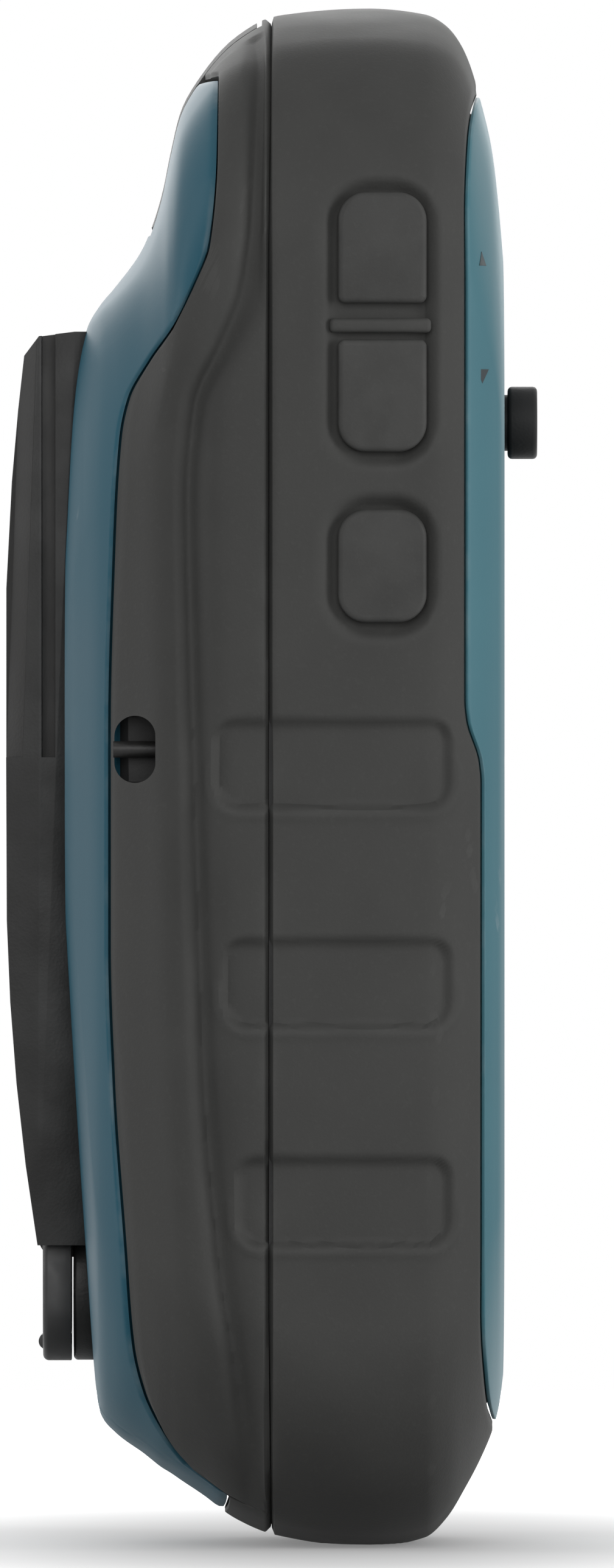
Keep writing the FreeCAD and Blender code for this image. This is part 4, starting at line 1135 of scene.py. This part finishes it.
@dataclass
class FrontBezel:
    """The painted front frame round the screen, with a dish for the thumb stick."""

    thick: float = 1.25
    window_half: float = 18.5
    window_low: float = 20.0
    window_high: float = 66.0
    window_corner: float = 1.6
    side_rows: int = 34
    face_rows: int = 30
    stick: Tuple[float, float] = (13.0, 75.35)
    stick_hole: float = 3.55
    bore_depths: Tuple[float, float] = (-20.0, -10.0)
    dish: float = 0.4
    dish_reach: float = 2.2

    def window_ring(self, columns: Columns, depth: float, grow: float) -> np.ndarray:
        """The window's outline, with a point for each column of the form.

        Args:
            columns: segment numbers and fractions.
            depth: where it lies, in millimetres.
            grow: how far it is larger than the window.

        Returns:
            Points in millimetres.
        """
        segment, share = columns
        half = self.window_half + grow
        radius = self.window_corner + grow
        top, low = self.window_high + grow, self.window_low - grow
        across, up = np.zeros(len(share)), np.zeros(len(share))
        for sign, first, level in ((1, 0, top), (-1, 4, low)):
            middle = level - sign * radius
            other = (low if sign == 1 else top) + sign * radius
            for step in (0, 2):
                turn = math.pi / 2 * (1 - share) if step == 0 else math.pi / 2 * share
                x = (half - radius + radius * np.sin(turn)) * (1 if step == 0 else -1)
                z = middle + sign * radius * np.cos(turn)
                mask = segment == first + step
                across, up = np.where(mask, sign * x, across), np.where(mask, z, up)
            mask = segment == first + 1
            across = np.where(mask, sign * (half - radius) * (1 - 2 * share), across)
            up = np.where(mask, level, up)
            mask = segment == first + 3
            across = np.where(mask, -sign * half, across)
            up = np.where(mask, middle + (other - middle) * share, up)
        return np.stack([across, np.full(len(share), depth), up], axis=1)

    def build(self, finishes: dict) -> Piece:
        """Make the bezel.

        Args:
            finishes: materials by slot.

        Returns:
            The bezel.
        """
        columns = FORM.columns(0.6)
        edge = FORM.where(columns, BEZEL_LINE.past(-0.1), 0, FRONT_LAST)
        rows = travel_rows(columns, edge, edge * 0.0, smoothstep(np.linspace(0, 1, self.side_rows)))
        normals = surface_normals(rows)
        for number, ease in ((0, 0.22), (1, 0.07), (2, 0.015)):
            rows[number] = rows[number] - normals[number] * ease
        face, ring = rows[-1], self.window_ring(columns, -FORM.front_depth, 0.45)
        for share in np.linspace(0, 1, self.face_rows)[1:]:
            rows.append(face + (ring - face) * share)
        rows += [self.window_ring(columns, -FORM.front_depth + sink, grow)
                 for sink, grow in ((0.03, 0.28), (0.12, 0.12), (0.25, 0.03), (0.4, 0.0), (1.2, 0.0))]
        for row in rows:
            reach = np.hypot(row[:, 0] - self.stick[0], row[:, 2] - self.stick[1]) - self.stick_hole
            shallow = row[:, 1] < -FORM.front_depth + 0.4
            row[:, 1] += self.dish * (1 - smoothstep(reach / self.dish_reach)) * shallow
        piece = grid_piece("front_bezel_shell", [scaled(row) for row in rows])
        outward_side(piece)
        apply_modifier(piece, "SOLIDIFY", thickness=self.thick * MM, offset=-1.0, use_even_offset=False)
        start, end = ((self.stick[0], depth, self.stick[1]) for depth in self.bore_depths)
        cut_away(piece, [rod("stick_bore", self.stick_hole, start, end, 96)])
        return finish_piece(piece, "unit", finishes["teal_paint"], ["front_bezel"], 38.0)


def outward_side(piece: Piece) -> None:
    """Turn the faces of an open belt away from the middle of the body."""
    mesh = piece.data
    middle = Vector((0.0, 0.0, FORM.height / 2 * MM))
    total = sum((face.normal.dot(face.center - middle)) * face.area for face in mesh.polygons)
    if total < 0:
        mesh.flip_normals()


@dataclass
class CoverAssembly:
    """The battery cover, with a round recess for the lock."""

    thick: float = 1.3
    rows: int = 66
    recess_radius: float = 5.25
    recess_depth: float = 11.7
    floor_thick: float = 1.2
    floor_grow: float = 0.4
    lock_height: float = 17.2
    bore: float = 1.65
    bore_depths: Tuple[float, float] = (5.0, 20.0)

    def lock_rod(self, name: str, radius: float, depths: Tuple[float, float], sides: int) -> Piece:
        """A cylinder on the lock's axis, between two depths in millimetres."""
        start, end = ((0, depth, self.lock_height) for depth in depths)
        return rod(name, radius, start, end, sides)

    def build(self, finishes: dict) -> None:
        """Make the cover.

        Args:
            finishes: materials by slot.
        """
        columns = FORM.columns(0.6)
        edge = FORM.where(columns, COVER_LINE.past(0.08), FRONT_LAST + 1, REAR_LAST)
        shares = np.linspace(0, 1, self.rows) ** 1.15
        rows = travel_rows(columns, edge, np.full(len(edge), float(REAR_LAST)), shares)
        normals = surface_normals(rows)
        for number, ease in ((0, 0.22), (1, 0.06), (2, 0.01)):
            rows[number] = rows[number] - normals[number] * ease
        piece = grid_piece("battery_cover_shell", [scaled(row) for row in rows], closed_end=True)
        outward_side(piece)
        apply_modifier(piece, "SOLIDIFY", thickness=self.thick * MM, offset=-1.0, use_even_offset=False)
        notch = block("notch_cut", (-CAP_ROOM, 0.0, CAP_FLOOR), (CAP_ROOM, BEHIND, ABOVE))
        seat = self.recess_depth
        recess = self.lock_rod("recess_cut", self.recess_radius, (seat, BEHIND), 96)
        cut_away(piece, [notch, recess, self.lock_rod("bore_cut", self.bore, self.bore_depths, 48)])
        wide = self.recess_radius + self.floor_grow
        floor = self.lock_rod("recess_floor", wide, (seat - self.floor_thick, seat), 96)
        cut_away(floor, [self.lock_rod("floor_bore", self.bore, self.bore_depths, 48)])
        cut_away(piece, [floor], "UNION")
        # The cover takes the darker teal, which has painted shade in it.
        finish_piece(piece, "cover", finishes["teal_cover"], ["battery_cover"], 38.0)


class Side(Enum):
    """The two sides of the body, as signs of X."""

    LEFT = -1
    RIGHT = 1


@dataclass
class SideKey:
    """A soft key with round corners, a slightly domed face and a rim inside the wall."""

    node: str
    side: Side
    low: float
    high: float
    front: float = -10.2
    rear: float = -4.3
    corner: float = 1.9
    edge: float = 0.4
    proud: float = 0.1
    depth: float = 3.0
    rim: float = 0.55
    rim_start: float = 2.35
    rim_end: float = 3.1
    square_low: bool = False
    square_high: bool = False
    square_corner: float = 0.5

    def face_level(self) -> float:
        """How far out the flat side of the body is at the key's middle, in millimetres."""
        middle = (self.low + self.high) / 2
        return FORM.half_width - FORM.side_taper + FORM.side_taper * middle / FORM.height

    def slab(self, name: str, outer: float, inner: float, grow: float) -> Piece:
        """A block on the key's outline with its four long corners rounded.

        Args:
            name: the object's name.
            outer: how far out it reaches, in millimetres.
            inner: how far out it starts.
            grow: how far it is larger than the key all round.

        Returns:
            The new object.
        """
        sign = self.side.value
        ends = sorted((sign * outer, sign * inner))
        piece = block(name, (ends[0], self.front - grow, self.low - grow),
                      (ends[1], self.rear + grow, self.high + grow))
        with editing(piece, "EDGE"):
            for level, square in ((self.high + grow, self.square_high), (self.low - grow, self.square_low)):
                mesh = bmesh.from_edit_mesh(piece.data)
                for face in mesh.faces:
                    face.select_set(False)
                for edge in mesh.edges:
                    way = edge.verts[1].co - edge.verts[0].co
                    along = abs(way.x) > 0.9 * way.length
                    edge.select_set(along and abs(edge.verts[0].co.z - level * MM) < 1e-6)
                bmesh.update_edit_mesh(piece.data)
                corner = self.square_corner if square else self.corner
                bpy.ops.mesh.bevel(offset=(corner + grow) * MM, segments=10, profile=0.5)
        return piece

    def away(self, place: Vector) -> float:
        """How far inside the key's outline a point lies, in millimetres."""
        top = place.z > (self.low + self.high) / 2
        square = self.square_high if top else self.square_low
        radius = self.square_corner if square else self.corner
        found = rounded_distance(np.array([place.y]), np.array([place.z]), (self.front, self.low),
                                 (self.rear, self.high), radius)
        return -float(found[0])

    def crown(self, piece: Piece) -> None:
        """Ease the rim of the key's outer face and dome the face."""
        sign = self.side.value
        inset_faces(piece, lambda normal: normal.x * sign > 0.9, (0.04, 0.08, 0.12, 0.16))
        top = max(sign * vertex.co.x for vertex in piece.data.vertices)
        for vertex in piece.data.vertices:
            if sign * vertex.co.x > top - 0.00005:
                short = max(0.0, self.edge - self.away(vertex.co / MM))
                fall = self.edge - math.sqrt(max(0.0, self.edge ** 2 - short ** 2))
                vertex.co.x -= sign * fall * MM

    def build(self, finishes: dict) -> Piece:
        """Make the key.

        Args:
            finishes: materials by slot.

        Returns:
            The key.
        """
        level = self.face_level()
        piece = self.slab(self.node + "_pad", level + self.proud, level - self.depth, 0.0)
        self.crown(piece)
        rim = self.slab(self.node + "_rim", level - self.rim_start, level - self.rim_end, self.rim)
        cut_away(piece, [rim], "UNION")
        return finish_piece(piece, self.node, finishes["key_rubber"], [self.node], 50.0)


@dataclass
class ZoomDivider:
    """The raised bar between the two zoom keys."""

    low: float = 80.8
    high: float = 81.75
    front: float = -10.5
    rear: float = -3.75
    deep: float = 1.6
    ease: float = 0.32

    def build(self, side: Side, finishes: dict) -> Piece:
        """Make the bar on one side.

        Args:
            side: the side that it is on.
            finishes: materials by slot.

        Returns:
            The bar.
        """
        level = FORM.half_width - FORM.side_taper + FORM.side_taper * self.low / FORM.height
        ends = sorted((side.value * level, side.value * (level - self.deep)))
        piece = block(f"zoom_divider_{side.name.lower()}", (ends[0], self.front, self.low),
                      (ends[1], self.rear, self.high))
        ease_edges(piece, self.ease, 4, 50)
        return finish_piece(piece, "unit", finishes["body_rubber"], (), 40.0)


@dataclass
class ThumbStick:
    """The stick on the front: a wide rounded end on a neck, over its pivot."""

    across: float = 13.0
    height: float = 75.35
    end: float = -17.85
    radius: float = 2.45
    thick: float = 2.0
    neck: float = 1.9
    neck_end: float = -15.35
    neck_overlap: float = 0.3
    stem: float = 1.1
    stem_depths: Tuple[float, float] = (-15.6, -10.1)
    pin: float = 0.45
    pin_reach: float = 3.1
    pivot_depth: float = -11.2
    dish: float = 0.3
    dish_reach: float = 2.0

    def build(self, finishes: dict) -> Piece:
        """Make the stick.

        Args:
            finishes: materials by slot.

        Returns:
            The stick.
        """
        def at(depth: float, rise: float = 0.0) -> Tuple[float, float, float]:
            """A point over or on the stick's axis."""
            return self.across, depth, self.height + rise

        piece = rod("stick_end", self.radius, at(self.end), at(self.end + self.thick), 72)
        inset_faces(piece, lambda normal: normal.y < -0.9, (0.5, 0.35, 0.45, 0.45))
        for vertex in piece.data.vertices:
            if vertex.co.y < (self.end + 0.01) * MM:
                reach = math.hypot(vertex.co.x / MM - self.across, vertex.co.z / MM - self.height)
                vertex.co.y += self.dish * (1 - smoothstep(np.array(reach / self.dish_reach)).item()) * MM
        ease_edges(piece, 0.3, 4, 50)
        neck = rod("stick_neck", self.neck, at(self.end + self.thick - self.neck_overlap), at(self.neck_end))
        stem = rod("stick_stem", self.stem, at(self.stem_depths[0]), at(self.stem_depths[1]), 40)
        pivot, reach = self.pivot_depth, self.pin_reach
        pins = rod("stick_pins", self.pin, at(pivot, -reach), at(pivot, reach), 24)
        cut_away(piece, [neck, stem, pins], "UNION")
        return finish_piece(piece, "stick", finishes["stick_rubber"], ["thumb_stick"], 40.0)


@dataclass
class WeatherCap:
    """The soft cap over the data socket at the top of the back."""

    half: float = 8.0
    front: float = 1.1
    low: float = 88.2
    thick: float = 2.2
    pull: float = 1.7
    pull_half: float = 3.4
    pull_place: Tuple[float, float] = (9.8, 88.6)

    def build(self, finishes: dict) -> Piece:
        """Make the cap.

        Args:
            finishes: materials by slot.

        Returns:
            The cap.
        """
        piece = block("weather_cap", (-self.half, self.front, self.low), (self.half, 30.0, ABOVE))
        cut_away(piece, [form_solid("cap_outside", 0.0, 0.8)], "INTERSECT")
        cut_away(piece, [form_solid("cap_inside", self.thick)])
        start, end = ((across, *self.pull_place) for across in (-self.pull_half, self.pull_half))
        cut_away(piece, [rod("cap_pull", self.pull, start, end, 48)])
        ease_edges(piece, 0.22, 3, 40)
        return finish_piece(piece, "cap", finishes["cap_rubber"], ["usb_cap"], 40.0)


@dataclass(frozen=True)
class EasedPiece:
    """A CAD node shown with its hard edges eased."""

    node: str
    body: str
    slot: str
    bevel: float
    segments: int = 2
    angle: float = 32.0

    def build(self, finishes: dict) -> Piece:
        """Make the eased copy.

        Args:
            finishes: materials by slot.

        Returns:
            The copy.
        """
        piece = dressed_copy(self.node, self.node + "_eased", self.bevel, self.segments, self.angle)
        return finish_piece(piece, self.body, finishes[self.slot], [self.node], 35.0)


EASED = (
    EasedPiece("mounting_spine", "cover", "spine_plastic", 0.22, 3),
    EasedPiece("lock_disc", "lock", "spine_plastic", 0.15, 2),
    EasedPiece("d_ring", "ring", "ring_metal", 0.12, 2),
    EasedPiece("screen_lens", "unit", "lens_clear", 0.12, 2),
)


@dataclass(frozen=True)
class SideMark:
    """A plain printed arrow head beside the zoom keys."""

    height: float
    depth: float
    up: bool
    size: float = 0.62

    def build(self, bezel: Piece, finishes: dict) -> Piece:
        """Lay the mark on the bezel's side.

        Args:
            bezel: the object that it lies on.
            finishes: materials by slot.

        Returns:
            The mark.
        """
        start = Vector((-2 * FORM.half_width, self.depth, self.height)) * MM
        found, spot, normal, _ = bezel.ray_cast(start, Vector((1, 0, 0)))
        if not found:
            raise ValueError("the side mark has no surface to lie on")
        turn = normal.to_track_quat("Z", "Y")
        clear_selection()
        bpy.ops.mesh.primitive_cylinder_add(vertices=3, radius=self.size * MM, depth=0.06 * MM)
        piece = bpy.context.object
        piece.name = "zoom_mark_up" if self.up else "zoom_mark_down"
        settle(piece)
        point = turn @ Vector((0, 1, 0))
        aim = Vector((0, 0, 1 if self.up else -1))
        spin = point.rotation_difference(aim - normal * aim.dot(normal))
        piece.rotation_mode = "QUATERNION"
        piece.rotation_quaternion = spin @ turn
        piece.location = spot
        return finish_piece(piece, "unit", finishes["mark_paint"], (), 30.0)


# ---- finishes by slot -------------------------------------------------------------------------


def build_finishes() -> dict:
    """Make every finish.

    Returns:
        Materials by slot.
    """
    sheets = (
        MouldedFinish("body_rubber", (0.043, 0.043, 0.0412), (0.058, 0.058, 0.0555), wear=0.12),
        PaintFinish("teal_paint", (0.05, 0.15, 0.186), (0.075, 0.2, 0.236)),
        # The cover's teal is a darker copy of the bezel's teal: painted shade for the rear, which lies away
        # from the lamps and beside the spine.
        PaintFinish("teal_cover", (0.014, 0.076, 0.112), (0.028, 0.108, 0.148), rough=0.48, coat=0.04),
        MouldedFinish("seal_rubber", (0.014, 0.014, 0.014), (0.02, 0.02, 0.02), wear=0.1),
        GlassFinish("lens_clear", (0.5, 0.56, 0.56)),
        ScreenFinish("screen_glass"),
        MouldedFinish("inner_plastic", (0.022, 0.022, 0.022), (0.032, 0.032, 0.032), 0.55,
                      worn=(0.07, 0.07, 0.07), wear=0.2),
        BoardFinish("circuit_board"),
        MouldedFinish("ceramic_patch", (0.5, 0.45, 0.36), (0.58, 0.53, 0.44), 0.6, wear=0.1),
        MetalFinish("bright_steel", (0.62, 0.62, 0.61), 0.3),
        MouldedFinish("cap_rubber", (0.03, 0.03, 0.03), (0.042, 0.042, 0.041), 0.6),
        MouldedFinish("key_rubber", (0.041, 0.041, 0.0395), (0.052, 0.052, 0.05), 0.55, wear=0.4),
        MouldedFinish("stick_rubber", (0.012, 0.012, 0.012), (0.02, 0.02, 0.02), 0.5,
                      worn=(0.06, 0.06, 0.06), wear=0.3),
        MetalFinish("cell_jacket", (0.2, 0.2, 0.21), 0.35, 0.6),
        MetalFinish("spring_steel", (0.66, 0.66, 0.63), 0.25),
        MouldedFinish("spine_plastic", (0.014, 0.0137, 0.0133), (0.017, 0.0166, 0.016), 0.45,
                      worn=(0.1, 0.1, 0.098), wear=0.3, specular=0.2, specks=0.0),
        MetalFinish("ring_metal", (0.03, 0.03, 0.03), 0.4, 0.5),
        MetalFinish("screw_steel", (0.5, 0.5, 0.49), 0.3),
        PaintFinish("mark_paint", (0.012, 0.02, 0.024), (0.02, 0.03, 0.035)),
    )
    return {sheet.name: sheet.build() for sheet in sheets}


def dress_nodes(finishes: dict) -> None:
    """Give every CAD node the finish of its slot."""
    for part in frame["record"]["subparts"]:
        node = frame["nodes"][part["node"]]
        node.data.materials.clear()
        node.data.materials.append(finishes[part["material_slot"]])


# ---- stage --------------------------------------------------------------------------------------


LAMP_AIM = Vector((0, 0, 0.052))


@dataclass(frozen=True)
class AreaLight:
    """A soft rectangular lamp that points at the unit."""

    name: str
    place: Tuple[float, float, float]
    size: Tuple[float, float]
    power: float
    color: Color = (1.0, 1.0, 1.0)

    def build(self) -> None:
        """Hang the lamp."""
        lamp = bpy.data.lights.new(self.name, "AREA")
        lamp.shape = "RECTANGLE"
        lamp.size, lamp.size_y = self.size
        lamp.energy = self.power
        lamp.color = self.color
        piece = bpy.data.objects.new(self.name, lamp)
        piece.location = self.place
        aim = LAMP_AIM - Vector(self.place)
        piece.rotation_euler = aim.to_track_quat("-Z", "Y").to_euler()
        bpy.context.scene.collection.objects.link(piece)


LIGHTS = (
    AreaLight("side_light", (-0.75, 0.0, 0.3), (0.5, 0.5), 2.9),
    AreaLight("front_strip", (-0.2, -0.55, 0.08), (0.18, 0.5), 2.0),
    AreaLight("rear_strip", (0.0, 0.6, 0.2), (0.2, 0.5), 1.0),
    AreaLight("far_light", (0.6, 0.05, 0.25), (0.4, 0.4), 1.6),
    AreaLight("top_light", (-0.1, 0.1, 0.7), (0.4, 0.4), 0.2),
)
BACKDROP = 1.0
AMBIENT = 0.2


def build_world() -> None:
    """A white backdrop for the camera and reflections, and grey light for the rest."""
    world = bpy.data.worlds.new("studio")
    bpy.context.scene.world = world
    world.use_nodes = True
    tree = world.node_tree
    tree.nodes.clear()
    output = tree.nodes.new("ShaderNodeOutputWorld")
    mix = tree.nodes.new("ShaderNodeMixShader")
    path = tree.nodes.new("ShaderNodeLightPath")
    seen = tree.nodes.new("ShaderNodeBackground")
    soft = tree.nodes.new("ShaderNodeBackground")
    seen.inputs["Color"].default_value = (1.0, 1.0, 1.0, 1.0)
    seen.inputs["Strength"].default_value = BACKDROP
    soft.inputs["Color"].default_value = (0.95, 0.97, 1.0, 1.0)
    soft.inputs["Strength"].default_value = AMBIENT
    share = path.outputs["Is Camera Ray"]
    for ray in ("Is Glossy Ray", "Is Transmission Ray"):
        either = tree.nodes.new("ShaderNodeMath")
        either.operation = "MAXIMUM"
        tree.links.new(share, either.inputs[0])
        tree.links.new(path.outputs[ray], either.inputs[1])
        share = either.outputs[0]
    tree.links.new(share, mix.inputs[0])
    tree.links.new(soft.outputs[0], mix.inputs[1])
    tree.links.new(seen.outputs[0], mix.inputs[2])
    tree.links.new(mix.outputs[0], output.inputs["Surface"])


def build_floor(size: float = 0.9, shadow_y: float = 0.034, shadow_x: float = 0.085) -> None:
    """A plain pale floor under the unit that glows white for camera, glossy and transmission rays, with a
    soft contact shadow painted into that glow.

    Args:
        size: the floor's side, in metres.
        shadow_y: the painted shadow's reach along Y.
        shadow_x: the painted shadow's reach along X.
    """
    clear_selection()
    bpy.ops.mesh.primitive_plane_add(size=size, location=(0, 0, -0.00005))
    floor = bpy.context.object
    floor.name = "floor"
    sheet = NodeSheet("pale_floor")
    parts = sheet.node("ShaderNodeSeparateXYZ", None, {0: sheet.place()}).outputs
    across = Term(sheet, parts["X"]) * (1 / shadow_x)
    along = (Term(sheet, parts["Y"]) + 0.003) * (1 / shadow_y)
    # Painted contact shadow: the floor's glow fades from grey under the unit to white away from it.
    painted_shadow_fade = (across * across + along * along).ramp(0.02, 1.9)
    painted_shadow_glow = sheet.mix(painted_shadow_fade, (0.2, 0.2, 0.2), (1.0, 1.0, 1.0))
    rays = sheet.node("ShaderNodeLightPath").outputs
    seen = (Term(sheet, rays["Is Camera Ray"]) + rays["Is Glossy Ray"] + rays["Is Transmission Ray"]).clamp()
    sheet.link("Emission Color", sheet.mix(seen, (0.0, 0.0, 0.0), painted_shadow_glow))
    sheet.link("Base Color", sheet.mix(sheet.noise(30.0), (0.4, 0.4, 0.4), (0.45, 0.45, 0.45)))
    sheet.set(Emission_Strength=1.0, Roughness=0.9)
    floor.data.materials.append(sheet.material)


@dataclass(frozen=True)
class CameraRig:
    """A long lens that looks square at the unit's left side."""

    distance: float = 1.8
    depth: float = -0.00227
    height: float = 0.0509
    frame_height: float = 0.1054
    sensor: float = 36.0

    def build(self) -> None:
        """Place the camera."""
        camera = bpy.data.cameras.new("main_camera")
        camera.sensor_fit = "VERTICAL"
        camera.sensor_width = self.sensor
        camera.sensor_height = self.sensor
        camera.lens = self.sensor * self.distance / self.frame_height
        camera.clip_start = 0.01
        piece = bpy.data.objects.new("main_camera", camera)
        piece.location = (-self.distance, self.depth, self.height)
        piece.rotation_euler = (math.radians(90), 0, math.radians(-90))
        bpy.context.scene.collection.objects.link(piece)
        bpy.context.scene.camera = piece


# ---- whole unit -----------------------------------------------------------------------------------


KEYS = (
    SideKey("zoom_in_key", Side.LEFT, 82.75, 90.1, square_low=True),
    SideKey("zoom_out_key", Side.LEFT, 72.9, 80.35, square_high=True),
    SideKey("menu_key", Side.LEFT, 61.6, 69.1),
    SideKey("back_key", Side.RIGHT, 82.4, 90.1),
    SideKey("light_key", Side.RIGHT, 61.6, 69.1),
)


def main() -> None:
    """Build the unit, its stage and its camera."""
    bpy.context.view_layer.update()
    bpy.context.scene.view_settings.view_transform = "Standard"
    finishes = build_finishes()
    dress_nodes(finishes)
    RubberBelt().build(finishes)
    bezel = FrontBezel().build(finishes)
    CoverAssembly().build(finishes)
    for key in KEYS:
        key.build(finishes)
    ZoomDivider().build(Side.LEFT, finishes)
    ThumbStick().build(finishes)
    WeatherCap().build(finishes)
    for piece in EASED:
        piece.build(finishes)
    for mark in (SideMark(85.6, -13.9, True), SideMark(78.1, -13.9, False)):
        mark.build(bezel, finishes)
    build_world()
    build_floor()
    for light in LIGHTS:
        light.build()
    CameraRig().build()


if __name__ == "__main__":
    main()
